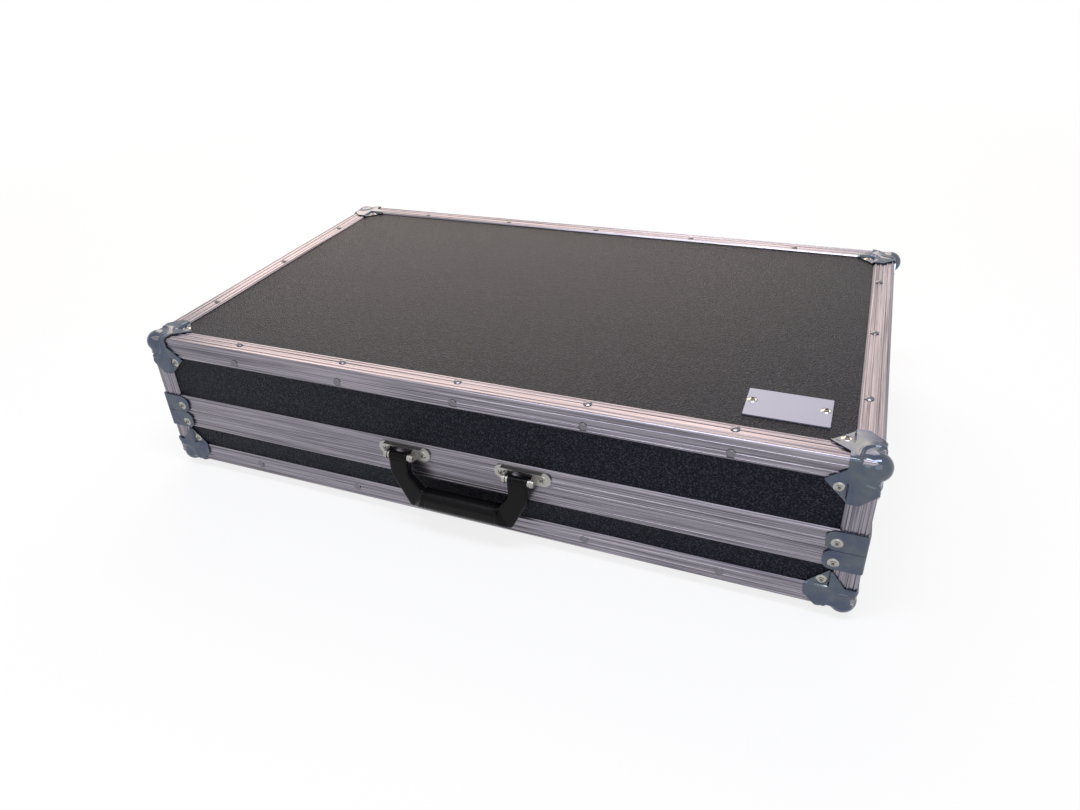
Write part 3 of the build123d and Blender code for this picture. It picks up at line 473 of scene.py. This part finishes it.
# Ball corners, in millimetres
EDGE_LEG = 22.0
TIP_REACH = 42.0
NOTCHED_LEG = 25.0
NOTCH_WIDTH = 9.5
FILLED_LEG = 30.0
FILLED_SHOULDER = 12.0
CRANK_DROP = 2.2
CRANK_RUN = 1.4
FOLD_RADIUS = 3.0
NECK = (15.0, 23.0)
CREASE = 0.7
COLLAR_RISE = (15.6, 16.7)
COLLAR_FALL = (17.7, 18.8)
TIP_RADIUS = 3.0
NOTCH_RADIUS = 1.5

# The round on the sheet's cut edges, and the least angle in degrees of an edge that gets it
RIM_WIDTH = 0.45
RIM_STEPS = 3
RIM_ANGLE = 50.0

# Points on each rounded corner and on the whole outline of a flange
ARC_POINTS = 5
OUTLINE_POINTS = 34

# The crank's rows stay within these shares of each ray
CRANK_START_LIMIT = 0.94
CRANK_END_LIMIT = 0.97

# Rows of points up to the ball's edge, each step of the ring, the crank's start and end, and the outline
FLANGE_ROWS = (16, 5, 5, 2, 5, 3, 3, 3)
TINY = 1e-9


def rounded_corner(before, corner, after, radius, steps):
    """Points of an arc that rounds one corner of a polyline, from run to run."""
    before, corner, after = (np.asarray(point, float) for point in (before, corner, after))
    back = (before - corner) / np.linalg.norm(before - corner)
    ahead = (after - corner) / np.linalg.norm(after - corner)
    half_angle = math.acos(np.clip(back @ ahead, -1, 1)) / 2
    trim = radius / math.tan(half_angle)
    share = np.linspace(0, 1, steps)[:, None]
    start = corner + back * trim
    end = corner + ahead * trim
    return (1 - share) ** 2 * start + 2 * share * (1 - share) * corner + share ** 2 * end


def leg_points(notched, wrap):
    """The end of one leg and the flange's tip beside it, as distances along and across the leg."""
    tip = (TIP_REACH, EDGE_LEG)
    if notched:
        return [(NOTCHED_LEG, wrap), (NOTCHED_LEG, NOTCH_WIDTH), tip]
    return [(FILLED_LEG, wrap), (FILLED_LEG, 0.0), (TIP_REACH, FILLED_SHOULDER), tip]


def plate_outline(first_notched, second_notched, wrap):
    """The rounded outline of one flange plate, from the end of its first leg to its second's."""
    first = leg_points(first_notched, wrap)
    second = [(across, along) for along, across in reversed(leg_points(second_notched, wrap))]
    corners = first + second
    points = [np.asarray(corners[0])[None]]
    for before, corner, after in zip(corners, corners[1:], corners[2:]):
        radius = TIP_RADIUS if TIP_REACH in corner else NOTCH_RADIUS
        points.append(rounded_corner(before, corner, after, radius, ARC_POINTS))
    points.append(np.asarray(corners[-1])[None])
    outline = np.concatenate(points)
    run = np.concatenate([[0], np.cumsum(np.linalg.norm(np.diff(outline, axis=0), axis=1))])
    wanted = np.unique(np.concatenate([run, np.linspace(0, run[-1], OUTLINE_POINTS)]))
    return np.stack([np.interp(wanted, run, outline[:, axis]) for axis in (0, 1)], axis=1)


def spaced(breaks, counts):
    """Rows between successive breakpoints, each span cut into its own number of equal steps."""
    rows = [breaks[0][None]]
    for low, high, count in zip(breaks, breaks[1:], counts):
        share = (np.arange(1, count + 1) / count)[:, None]
        rows.append(low + (high - low) * share)
    return np.concatenate(rows)


def flange_surface(corner, first_notched, second_notched, third_notched):
    """One face of a ball corner as distances along two edges and in from the face.

    Rays fan out from the outer corner to the outline. A point's height is the sheet's, less the
    crank: a smoothstep down to the board once both distances pass the width of the edge angle.
    """
    sheet = corner.sheet / MM
    outline = plate_outline(first_notched, second_notched, -sheet)
    offset = outline + sheet
    reach = np.linalg.norm(offset, axis=1)
    direction = offset / reach[:, None]
    centre = ball_centre(corner, (first_notched, second_notched, third_notched)) + sheet
    along = direction @ centre[:2]
    aside = centre @ centre - along ** 2

    def ring(distance):
        return along + np.sqrt(np.maximum(distance ** 2 - aside, 0))

    nearer = direction.min(axis=1)
    with np.errstate(divide="ignore"):
        crank_start = (EDGE_LEG + sheet) / nearer
        crank_end = (EDGE_LEG + CRANK_RUN + sheet) / nearer
    start = np.minimum(crank_start, CRANK_START_LIMIT * reach)
    end = np.minimum(crank_end, CRANK_END_LIMIT * reach)
    distances = (corner.ball_radius / MM, *COLLAR_RISE, *COLLAR_FALL)
    breaks = [reach * 0] + [np.minimum(ring(distance), start) for distance in distances]
    rows = spaced(breaks + [start, end, reach], FLANGE_ROWS)
    first = -sheet + rows * direction[:, 0]
    second = -sheet + rows * direction[:, 1]
    crank = CRANK_DROP * smoothstep(EDGE_LEG, EDGE_LEG + CRANK_RUN, first)
    crank *= smoothstep(EDGE_LEG, EDGE_LEG + CRANK_RUN, second)
    return np.stack([first, second, np.full_like(first, -sheet)], axis=-1), crank


def ball_centre(corner, notched):
    """How far in from each face the ball's centre lies: less along a notched leg."""
    near, far = corner.near_inset / MM, corner.far_inset / MM
    return np.array([near if flag else far for flag in notched])


def fold(points, centre, sheet):
    """Rounds the outer edges of a box of sheet and gives the outward direction there.

    Points past an inner box keep an ellipsoid's distance from it. The inner box's faces lie at
    the fold's radius, and close to the ball they move in to the ball's centre, which makes a neck.
    """
    distance = np.linalg.norm(points - centre, axis=-1, keepdims=True)
    neck = 1 - smoothstep(*NECK, distance)
    radii = FOLD_RADIUS + (centre + sheet - FOLD_RADIUS) * neck
    inner = np.maximum(points, radii - sheet)
    share = (points - inner) / radii
    share /= np.maximum(np.linalg.norm(share, axis=-1, keepdims=True), TINY)
    folded = inner + share * radii
    outward = share / radii
    return folded, outward / np.linalg.norm(outward, axis=-1, keepdims=True)


def swell(points, outward, centre, corner):
    """Presses the ring and the ball: the ring is lifted along the sheet's own outward direction,
    and the ball is the softened larger of its own radius and the distance from its centre."""
    ball = corner.ball_radius / MM
    distance = np.linalg.norm(points - centre, axis=-1, keepdims=True)
    raised = smoothstep(*COLLAR_RISE, distance) * (1 - smoothstep(*COLLAR_FALL, distance))
    points = points + outward * raised * corner.collar_height / MM
    offset = points - centre
    distance = np.linalg.norm(offset, axis=-1, keepdims=True)
    pressed = (distance + ball + np.sqrt((distance - ball) ** 2 + CREASE ** 2)) / 2
    pressed = distance + (pressed - distance) * (1 - smoothstep(ball, COLLAR_RISE[0], distance))
    return centre + offset / distance * pressed


def sheet_wall(thing, sheet):
    """Gives a pressed surface the sheet's thickness inwards and a small round on its cut edges."""
    wall = thing.modifiers.new("sheet", "SOLIDIFY")
    wall.thickness = sheet
    wall.offset = -1
    rim = thing.modifiers.new("rim", "BEVEL")
    rim.width = RIM_WIDTH * MM
    rim.segments = RIM_STEPS
    rim.limit_method = "ANGLE"
    rim.angle_limit = math.radians(RIM_ANGLE)
    rim.harden_normals = True


def corner_patches(corner, side_x, side_y, up, level, notched):
    """The three flanges of one corner, mirrored to its place on the case.

    notched names the one axis whose leg is cut back: 0 along the front, 2 upright.
    """
    patches = []
    signs = np.array([side_x, side_y, up])
    centre = ball_centre(corner, [axis == notched for axis in range(3)])
    place = np.array([side_x * HALF_LENGTH, side_y * HALF_WIDTH, level])
    for first, second in ((0, 1), (0, 2), (1, 2)):
        third = 3 - first - second
        surface, crank = flange_surface(
            corner, first == notched, second == notched, third == notched,
        )
        local = np.empty_like(surface)
        local[..., first] = surface[..., 0]
        local[..., second] = surface[..., 1]
        local[..., third] = surface[..., 2]
        folded, outward = fold(local, centre, corner.sheet / MM)
        local = swell(folded, outward, centre, corner)
        local[..., third] += crank
        inside = place - signs * TIP_REACH
        patches.append(patch(to_case(place - signs * local), to_case(inside)))
    return patches


# Handle, in millimetres from its middle and from the pins' axis
HANDLE_OFFSET = 3.7
ARM_MIDDLE = 63.0
ARM_HALF = 10.0
HEEL = 55.0
SHOULDER = -20.0
GRIP_HALF = 41.0
GRIP_PLAIN = 38.9
ARM_TOP = -1.0
HEEL_RADII = (5.0, 3.5)
SHOULDER_RADII = (14.0, 10.0)
BLEND_DEPTH = (41.5, 46.5)
BLEND_ROUND = (41.5, 47.0)
GRIP_ROUND = 7.5
ARM_ROUND = 1.9
GROOVE_PLACE = 37.8
GROOVE_STEP = 0.4
GROOVE_REACH = (0.9, 0.3)
GROOVE_DEPTH = 0.7
PEBBLE_FADE = 0.8

# How far past the plain grip the outer and inner outline go before their first bend
GRIP_LEAD = (1.0, 0.05)

# Points on the outlines' straight runs and bends, and on each station's quarter circles and sides
RUN_POINTS = (2, 14, 14, 8)
BEND_POINTS = (2, 9, 9)
SHARP_BEND = 0.01
GRIP_POINTS = 24
SECTION_ARC = 9
SECTION_SIDE = 6

# The eyes, with the radius of one more ring of points on their flat ends
EYE_RADIUS = 4.5
EYE_EDGE = 1.2
EYE_RING = 2.0
EYE_POINTS = 48
EDGE_POINTS = 6

# Where the pins' axis lies out from the front face and up from the case's underside
PIN_OUT = 11.2
PIN_HEIGHT = 74.6


def path_through(corners, radii, runs, bends):
    """A polyline with rounded corners, with a given number of points on each run and bend."""
    corners = [np.asarray(point, float) for point in corners]
    points = []
    start = corners[0]
    for index, radius in enumerate(radii):
        arc = rounded_corner(*corners[index:index + 3], radius, bends[index])
        points.append(np.linspace(start, arc[0], runs[index], endpoint=False))
        points.append(arc[:-1])
        start = arc[-1]
    points.append(np.linspace(start, corners[-1], runs[-1]))
    return np.concatenate(points)


def section(half_span, half_depth, radius):
    """Rounded rectangles, one per station, as offsets along the span and in depth.

    Each is four quarter circles about the corners of an inner rectangle, joined by straight sides.
    """
    quarters = np.array([(1, 1), (-1, 1), (-1, -1), (1, -1)])
    angle = (np.arange(4)[:, None] + np.linspace(0, 1, SECTION_ARC)) * math.pi / 2
    circle = np.stack([np.cos(angle), np.sin(angle)], axis=-1)
    flats = np.stack([half_span - radius, half_depth - radius], axis=-1)
    arcs = flats[:, None, None] * quarters[:, None] + radius[:, None, None, None] * circle
    ends = arcs[:, :, -1:]
    next_starts = np.roll(arcs[:, :, :1], -1, axis=1)
    share = np.linspace(0, 1, SECTION_SIDE + 2)[1:-1, None]
    outline = np.concatenate([arcs, ends + (next_starts - ends) * share], axis=2)
    return outline.reshape(len(radius), -1, 2)


def handle_outlines(handle):
    """The moulding's outer and inner outline from one arm's top round to the other's."""
    bottom = -handle.drop / MM
    top = bottom + handle.grip_height / MM
    plain = np.concatenate([
        np.linspace(0, GROOVE_PLACE - 3 * GROOVE_STEP, GRIP_POINTS),
        GROOVE_PLACE + GROOVE_STEP * np.arange(-2, 3),
    ])
    outlines = []
    turns = ((bottom, HEEL, ARM_MIDDLE + ARM_HALF), (top, GRIP_HALF, ARM_MIDDLE - ARM_HALF))
    for side, (level, heel, arm) in enumerate(turns):
        corners = [
            (GRIP_PLAIN, level), (GRIP_PLAIN + GRIP_LEAD[side], level), (heel, level),
            (arm, SHOULDER), (arm, ARM_TOP),
        ]
        radii = (SHARP_BEND, HEEL_RADII[side], SHOULDER_RADII[side])
        bend = path_through(corners, radii, RUN_POINTS, BEND_POINTS)
        half = np.concatenate([np.stack([plain, np.full_like(plain, level)], axis=1), bend])
        outlines.append(np.concatenate([half[:0:-1] * (-1, 1), half]))
    return outlines


def handle_patches(handle):
    """The moulding: a rounded rectangle carried down one arm, along the grip and up the other.

    Its span runs from the inner to the outer outline. Its depth grows by smoothstep from the
    arm's to the grip's, and its corner radius from a tight edge to the grip's full round.
    """
    outer, inner = handle_outlines(handle)
    centre = (outer + inner) / 2
    span = (outer - inner) / 2
    half_span = np.linalg.norm(span, axis=1)
    side = np.abs(centre[:, 0])
    on_arm = smoothstep(*BLEND_DEPTH, side)
    half_depth = (handle.grip_depth * (1 - on_arm) + handle.arm_depth * on_arm) / MM / 2
    radius = GRIP_ROUND - (GRIP_ROUND - ARM_ROUND) * smoothstep(*BLEND_ROUND, side)
    groove = smoothstep(*GROOVE_REACH, np.abs(side - GROOVE_PLACE)) * GROOVE_DEPTH
    offsets = section(half_span - groove, half_depth - groove, radius)
    unit = span / half_span[:, None]
    points = np.stack([
        centre[:, :1] + unit[:, :1] * offsets[..., 0],
        offsets[..., 1],
        centre[:, 1:] + unit[:, 1:] * offsets[..., 0],
    ], axis=-1)
    place = np.array([HANDLE_OFFSET, -HALF_WIDTH - PIN_OUT, PIN_HEIGHT])
    patches = [patch(to_case(points + place), to_case(place), closed=True)]
    for rim in (points[0], points[-1]):
        middle = rim.mean(axis=0)
        cap = middle + (rim - middle) * np.linspace(1, 0, 4)[:, None, None]
        below = middle + place - (0, 0, ARM_HALF)
        patches.append(patch(to_case(cap + place), to_case(below), closed=True))
    return patches + eye_patches(place)


def eye_patches(place):
    """The round eye at the top of each arm: a bar with rounded rims turned about the pin's axis."""
    bend = np.linspace(0, math.pi / 2, EDGE_POINTS)
    edge_x = ARM_HALF - EYE_EDGE + EYE_EDGE * np.sin(bend)
    edge_radius = EYE_RADIUS - EYE_EDGE + EYE_EDGE * np.cos(bend)
    middle = np.linspace(0, ARM_HALF - EYE_EDGE, 5)[:-1]
    half_x = np.concatenate([middle, edge_x, [ARM_HALF, ARM_HALF]])
    half_radius = np.concatenate([np.full_like(middle, EYE_RADIUS), edge_radius, [EYE_RING, 0.0]])
    x = np.concatenate([-half_x[:0:-1], half_x])
    radius = np.concatenate([half_radius[:0:-1], half_radius])[:, None]
    turn = np.linspace(0, 2 * math.pi, EYE_POINTS, endpoint=False)
    patches = []
    for arm in (-ARM_MIDDLE, ARM_MIDDLE):
        along = np.broadcast_to((x + arm)[:, None], (len(x), len(turn)))
        points = np.stack([along, radius * np.cos(turn), radius * np.sin(turn)], axis=-1)
        centre = np.array([arm, 0.0, 0.0])
        patches.append(patch(to_case(points + place), to_case(centre + place), closed=True))
    return patches


# Foam lining, in millimetres
WALL_FOAM = 14.0
PAD_JOINT = 0.2
PAD_CELL = 12.0


def eased(low, high, radius):
    """Grid lines between two limits, close together within the softened edges."""
    edge = radius * (1 - np.cos(np.linspace(0, math.pi / 2, EDGE_POINTS)))
    middle = np.linspace(low + radius, high - radius, max(int((high - low) / PAD_CELL), 4))
    return np.concatenate([low + edge[:-1], middle, (high - edge[:-1])[::-1]])


def pad_drop(u_grid, v_grid, u, v, foam):
    """How far the shown face lies below the box: a quarter circle at each edge, and the crown
    times one minus (1 - a^2)(1 - b^2), where a and b run from -1 to 1 over the face."""
    radius = foam.edge_radius / MM
    to_edge = np.minimum(
        np.minimum(u_grid - u[0], u[-1] - u_grid), np.minimum(v_grid - v[0], v[-1] - v_grid),
    )
    inner = radius - np.minimum(to_edge, radius)
    rounded = radius - np.sqrt(np.maximum(radius ** 2 - inner ** 2, 0))
    a = (2 * u_grid - u[0] - u[-1]) / (u[-1] - u[0])
    b = (2 * v_grid - v[0] - v[-1]) / (v[-1] - v[0])
    return rounded + foam.crown / MM * (1 - (1 - a ** 2) * (1 - b ** 2))


def pad_patches(low, high, face, outward, foam):
    """A cut foam sheet filling a box, crowned and softened on the one face that shows."""
    first, second = [axis for axis in range(3) if axis != face]
    u = eased(low[first], high[first], foam.edge_radius / MM)
    v = eased(low[second], high[second], foam.edge_radius / MM)
    u_grid, v_grid = np.meshgrid(u, v, indexing="ij")
    shown, hidden = (high[face], low[face]) if outward > 0 else (low[face], high[face])
    middle = (low + high) / 2
    front = np.empty(u_grid.shape + (3,))
    front[..., first] = u_grid
    front[..., second] = v_grid
    back = front.copy()
    front[..., face] = shown - outward * pad_drop(u_grid, v_grid, u, v, foam)
    back[..., face] = hidden
    rim = [(slice(None), 0), (-1, slice(None)), (slice(None, None, -1), -1), (0, slice(None, None, -1))]
    front_rim = np.concatenate([front[edge] for edge in rim])
    back_rim = np.concatenate([back[edge] for edge in rim])
    return [
        patch(front, middle), patch(back, middle), patch(np.stack([front_rim, back_rim]), middle),
    ]


def box_mm(node):
    """Lowest and highest corner of a CAD node in millimetres."""
    low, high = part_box(node)
    return np.array(low) / MM, np.array(high) / MM


def wall_pads(node, foam):
    """Four sheets standing round the walls, the long pair between the short pair's ends."""
    low, high = box_mm(node)
    patches = []
    for outward in (-1, 1):
        short_low, short_high = low.copy(), high.copy()
        if outward > 0:
            short_high[0] = low[0] + WALL_FOAM
        else:
            short_low[0] = high[0] - WALL_FOAM
        patches += pad_patches(short_low, short_high, 0, outward, foam)
        long_low, long_high = low.copy(), high.copy()
        long_low[0] += WALL_FOAM + PAD_JOINT
        long_high[0] -= WALL_FOAM + PAD_JOINT
        if outward > 0:
            long_high[1] = low[1] + WALL_FOAM
        else:
            long_low[1] = high[1] - WALL_FOAM
        patches += pad_patches(long_low, long_high, 1, outward, foam)
    return patches


def add_foam(name, patches, node, body, material):
    """Makes one foam piece that stands for its CAD node."""
    thing = build(name, patches)
    thing.data.materials.append(material)
    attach(thing, body)
    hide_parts(node)
    return thing


# Operators
class CASE_OT_boards(bpy.types.Operator):
    """Puts the grained laminate on every board"""

    bl_idname = "flight_case.boards"
    bl_label = "Laminate boards"

    def execute(self, context):
        material = laminate(context.scene.case_finish)
        dress(material, *[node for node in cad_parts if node.endswith("_board")])
        return {"FINISHED"}


class CASE_OT_extrusions(bpy.types.Operator):
    """Puts mill-finish aluminium on the edge angles, posts and rails"""

    bl_idname = "flight_case.extrusions"
    bl_label = "Aluminium extrusions"

    def execute(self, context):
        finish = context.scene.case_finish
        along_length = aluminium("mill_aluminium_lengthwise", finish, 0)
        along_width = aluminium("mill_aluminium_widthwise", finish, 1)
        upright = aluminium("mill_aluminium_upright", finish, 2)
        for half in ("base", "lid"):
            dress(along_length, half + "_long_edges", half + "_front_rail", half + "_back_rail")
            dress(along_width, half + "_short_edges", half + "_right_rail", half + "_left_rail")
            dress(upright, half + "_corner_posts")
        return {"FINISHED"}


class CASE_OT_ball_corners(bpy.types.Operator):
    """Builds the pressed ball corners of both halves"""

    bl_idname = "flight_case.ball_corners"
    bl_label = "Ball corners"

    def execute(self, context):
        finish = context.scene.case_finish
        corner = context.scene.case_corner
        material = plating("bright_zinc_pressing", finish.zinc, finish.zinc_tint, 0.08, 0.17)
        halves = (("base", -1, 0.0, 2), ("lid", 1, CASE_HEIGHT, 0))
        for half, up, level, notched in halves:
            patches = []
            for side_x in (-1, 1):
                for side_y in (-1, 1):
                    patches += corner_patches(corner, side_x, side_y, up, level, notched)
            thing = build(half + "_pressed_corners", patches)
            sheet_wall(thing, corner.sheet)
            thing.data.materials.append(material)
            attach(thing, half)
            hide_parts(half + "_ball_corners")
        return {"FINISHED"}


class CASE_OT_fittings(bpy.types.Operator):
    """Plates the braces, hinges and latches"""

    bl_idname = "flight_case.fittings"
    bl_label = "Braces, hinges and latches"

    def execute(self, context):
        finish = context.scene.case_finish
        zinc = plating("bright_zinc_strip", finish.zinc, finish.zinc_tint, 0.16, 0.28)
        dress(zinc, "base_corner_braces", "lid_corner_braces", "base_hinge_leaves", "lid_hinge_leaves")
        dress(zinc, "right_latch_dish", "left_latch_dish", "right_strike_dish", "left_strike_dish")
        dress(zinc, "foot_screws", "hinge_pins")
        nickel = plating("nickel_plated_steel", finish.nickel, finish.nickel, 0.14, 0.24)
        moving = [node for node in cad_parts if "_boss" in node or "_wing" in node or "_claw" in node]
        dress(nickel, *moving)
        return {"FINISHED"}


class CASE_OT_rivets(bpy.types.Operator):
    """Finishes the domed edge rivets and the blind rivets"""

    bl_idname = "flight_case.rivets"
    bl_label = "Rivets"

    def execute(self, context):
        finish = context.scene.case_finish
        domed = plating("domed_steel_rivets", finish.rivet, finish.rivet, 0.18, 0.3)
        nickel = plating("nickel_blind_rivets", finish.nickel, finish.nickel, 0.14, 0.26)
        dress(domed, "base_edge_rivets", "lid_edge_rivets")
        dress(nickel, "base_blind_rivets", "lid_blind_rivets")
        return {"FINISHED"}


class CASE_OT_handle(bpy.types.Operator):
    """Builds the handle moulding and plates its brackets, pins and tubes"""

    bl_idname = "flight_case.handle"
    bl_label = "Handle"

    def execute(self, context):
        finish = context.scene.case_finish
        nickel = plating("nickel_handle_bracket", finish.nickel, finish.nickel, 0.28, 0.4)
        dress(nickel, "handle_brackets", "handle_pins", "handle_sleeves")
        thing = build("handle_grip_and_arms", handle_patches(context.scene.case_handle))
        thing.data.materials.append(handle_plastic(finish))
        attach(thing, "handle")
        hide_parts("handle_moulding")
        return {"FINISHED"}


class CASE_OT_plate_and_feet(bpy.types.Operator):
    """Finishes the bare name plate and the rubber feet"""

    bl_idname = "flight_case.plate_and_feet"
    bl_label = "Name plate and feet"

    def execute(self, context):
        finish = context.scene.case_finish
        dress(plate_finish(finish), "name_plate")
        dress(rubber(finish), "rubber_feet")
        return {"FINISHED"}


class CASE_OT_foam(bpy.types.Operator):
    """Builds the foam lining of the base and the lid"""

    bl_idname = "flight_case.foam"
    bl_label = "Foam lining"

    def execute(self, context):
        foam = context.scene.case_foam
        material = open_foam(context.scene.case_finish)
        floor = pad_patches(*box_mm("base_floor_foam"), 2, 1, foam)
        add_foam("base_floor_pad", floor, "base_floor_foam", "base", material)
        top = pad_patches(*box_mm("lid_top_foam"), 2, -1, foam)
        add_foam("lid_top_pad", top, "lid_top_foam", "lid", material)
        for half in ("base", "lid"):
            node = half + "_wall_foam"
            patches = wall_pads(node, foam)
            add_foam(half + "_wall_pads", patches, node, half, material)
        return {"FINISHED"}


# Stage, in metres
CAMERA_PLACE = (0.31457, -0.76408, 0.53667)
CAMERA_SHIFT = (0.0227, -0.0115)
CLIP_START = 0.01
SENSOR_WIDTH = 36.0

# Each lamp's place, the point it faces, and its width and height
BACK_SOFTBOX = ((-0.75, 1.75, 1.35), (-0.05, 0.1, 0.1), (2.6, 1.5))
FRONT_FILL = ((0.6, -1.9, 1.3), (0.0, -0.2, 0.1), (1.8, 1.2))
OVERHEAD_STRIP = ((0.2, -0.5, 2.0), (0.1, -0.2, 0.1), (1.6, 0.4))

# Strength of the white world as a lamp, where the eye sees it at 1
AMBIENT = 0.5

# The floor's share of white glow is NEAR_GLOW up to the fade's start and all of it past the fade's end
FLOOR_HALF = 6.0
FLOOR_FADE = (0.7, 2.2)
NEAR_GLOW = 0.8


def softbox(name, place, aim, size, power, rgb):
    """A rectangular area lamp at a place, facing a point, hidden from the camera itself."""
    lamp = bpy.data.lights.new(name, "AREA")
    lamp.shape = "RECTANGLE"
    lamp.size, lamp.size_y = size
    lamp.energy = power
    lamp.color = rgb
    thing = bpy.data.objects.new(name, lamp)
    thing.location = place
    thing.rotation_euler = (Vector(aim) - Vector(place)).to_track_quat("-Z", "Y").to_euler()
    thing.visible_camera = False
    bpy.context.scene.collection.objects.link(thing)


def white_for_eye(tree):
    """1 for rays that show the background: from the camera, in mirrors and through glass."""
    path = add(tree, "ShaderNodeLightPath")
    glossy = add(tree, "ShaderNodeMath", {
        0: path.outputs["Is Camera Ray"], 1: path.outputs["Is Glossy Ray"],
    }, operation="MAXIMUM")
    return add(tree, "ShaderNodeMath", {
        0: glossy.outputs["Value"], 1: path.outputs["Is Transmission Ray"],
    }, operation="MAXIMUM").outputs["Value"]


class CASE_OT_stage(bpy.types.Operator):
    """Sets the floor, the world, the lamps and the camera"""

    bl_idname = "flight_case.stage"
    bl_label = "Stage"

    def execute(self, context):
        scene = context.scene
        stage = scene.case_stage
        scene.view_settings.view_transform = "Standard"
        self.add_camera(scene, stage)
        self.add_world(scene)
        self.add_floor()
        softbox("back_softbox", *BACK_SOFTBOX, stage.key_power, linear("#ffe4cc"))
        softbox("front_fill", *FRONT_FILL, stage.fill_power, linear("#e8ecff"))
        softbox("overhead_strip", *OVERHEAD_STRIP, stage.strip_power, linear("#f4f6ff"))
        return {"FINISHED"}

    def add_camera(self, scene, stage):
        """The photograph's view, turned by heading, then tilt, then roll."""
        data = bpy.data.cameras.new("photo_view")
        data.lens = stage.lens
        data.sensor_width = SENSOR_WIDTH
        data.sensor_fit = "HORIZONTAL"
        data.shift_x, data.shift_y = CAMERA_SHIFT
        data.clip_start = CLIP_START
        camera = bpy.data.objects.new("photo_view", data)
        turn = Matrix.Rotation(stage.heading, 4, "Z")
        turn @= Matrix.Rotation(math.pi / 2 - stage.tilt, 4, "X")
        turn @= Matrix.Rotation(-stage.roll, 4, "Z")
        camera.matrix_world = Matrix.Translation(CAMERA_PLACE) @ turn
        scene.collection.objects.link(camera)
        scene.camera = camera

    def add_world(self, scene):
        """A white world for the eye that lights the case at a lower strength."""
        world = bpy.data.worlds.new("white_studio")
        world.use_nodes = True
        tree = world.node_tree
        tree.nodes.clear()
        strength = add(tree, "ShaderNodeMapRange", {
            "Value": white_for_eye(tree), "To Min": AMBIENT, "To Max": 1.0,
        })
        glow = add(tree, "ShaderNodeBackground", {
            "Color": (1.0, 1.0, 1.0, 1.0), "Strength": strength.outputs["Result"],
        })
        add(tree, "ShaderNodeOutputWorld", {"Surface": glow.outputs["Background"]})
        scene.world = world

    def add_floor(self):
        """A pale floor that fades into the white world and keeps the case's shadow."""
        line = np.linspace(-FLOOR_HALF, FLOOR_HALF, 5) / MM
        x, y = np.meshgrid(line, line, indexing="ij")
        points = np.stack([x, y, np.zeros_like(x)], axis=-1)
        below = (0.0, 0.0, -FLOOR_HALF / MM)
        floor = build("studio_floor", [patch(points, below)])
        material = bpy.data.materials.new("pale_studio_floor")
        material.use_nodes = True
        tree = material.node_tree
        tree.nodes.clear()
        place = add(tree, "ShaderNodeTexCoord").outputs["Object"]
        distance = add(tree, "ShaderNodeVectorMath", {0: place}, operation="LENGTH")
        far = add(tree, "ShaderNodeMapRange", {
            "Value": distance.outputs["Value"],
            "From Min": FLOOR_FADE[0], "From Max": FLOOR_FADE[1], "To Min": NEAR_GLOW, "To Max": 1.0,
        }, interpolation_type="SMOOTHSTEP")
        share = add(tree, "ShaderNodeMath", {0: far.outputs["Result"], 1: white_for_eye(tree)},
                    operation="MULTIPLY")
        paint = add(tree, "ShaderNodeBsdfDiffuse", {"Color": opaque(linear("#f4f4f6"))})
        glow = add(tree, "ShaderNodeEmission", {"Color": (1.0, 1.0, 1.0, 1.0), "Strength": 1.0})
        both = add(tree, "ShaderNodeMixShader", {
            0: share.outputs["Value"], 1: paint.outputs["BSDF"], 2: glow.outputs["Emission"],
        })
        add(tree, "ShaderNodeOutputMaterial", {"Surface": both.outputs["Shader"]})
        floor.data.materials.append(material)


PIECE_OPERATORS = (
    CASE_OT_boards, CASE_OT_extrusions, CASE_OT_ball_corners, CASE_OT_fittings, CASE_OT_rivets,
    CASE_OT_handle, CASE_OT_plate_and_feet, CASE_OT_foam, CASE_OT_stage,
)


class CASE_PT_panel(bpy.types.Panel):
    """Lists the settings and the steps of the dressing"""

    bl_label = "Flight case"
    bl_space_type = "VIEW_3D"
    bl_region_type = "UI"
    bl_category = "Flight case"

    def draw(self, context):
        for group in SETTINGS:
            values = getattr(context.scene, group)
            for name in values.__annotations__:
                self.layout.prop(values, name)
        for operator in PIECE_OPERATORS:
            self.layout.operator(operator.bl_idname)


SETTINGS = {
    "case_finish": FinishSettings,
    "case_corner": CornerSettings,
    "case_handle": HandleSettings,
    "case_foam": FoamSettings,
    "case_stage": StageSettings,
}


def register():
    """Registers the settings, the steps and the panel."""
    for group in SETTINGS.values():
        bpy.utils.register_class(group)
    for name, group in SETTINGS.items():
        setattr(bpy.types.Scene, name, PointerProperty(type=group))
    for operator in PIECE_OPERATORS:
        bpy.utils.register_class(operator)
    bpy.utils.register_class(CASE_PT_panel)


def unregister():
    """Takes the panel, the steps and the settings away again."""
    bpy.utils.unregister_class(CASE_PT_panel)
    for operator in reversed(PIECE_OPERATORS):
        bpy.utils.unregister_class(operator)
    for name, group in reversed(SETTINGS.items()):
        delattr(bpy.types.Scene, name)
        bpy.utils.unregister_class(group)


def main():
    """Runs every step in order."""
    register()
    for operator in PIECE_OPERATORS:
        group, name = operator.bl_idname.split(".")
        getattr(getattr(bpy.ops, group), name)()


if __name__ == "__main__":
    main()
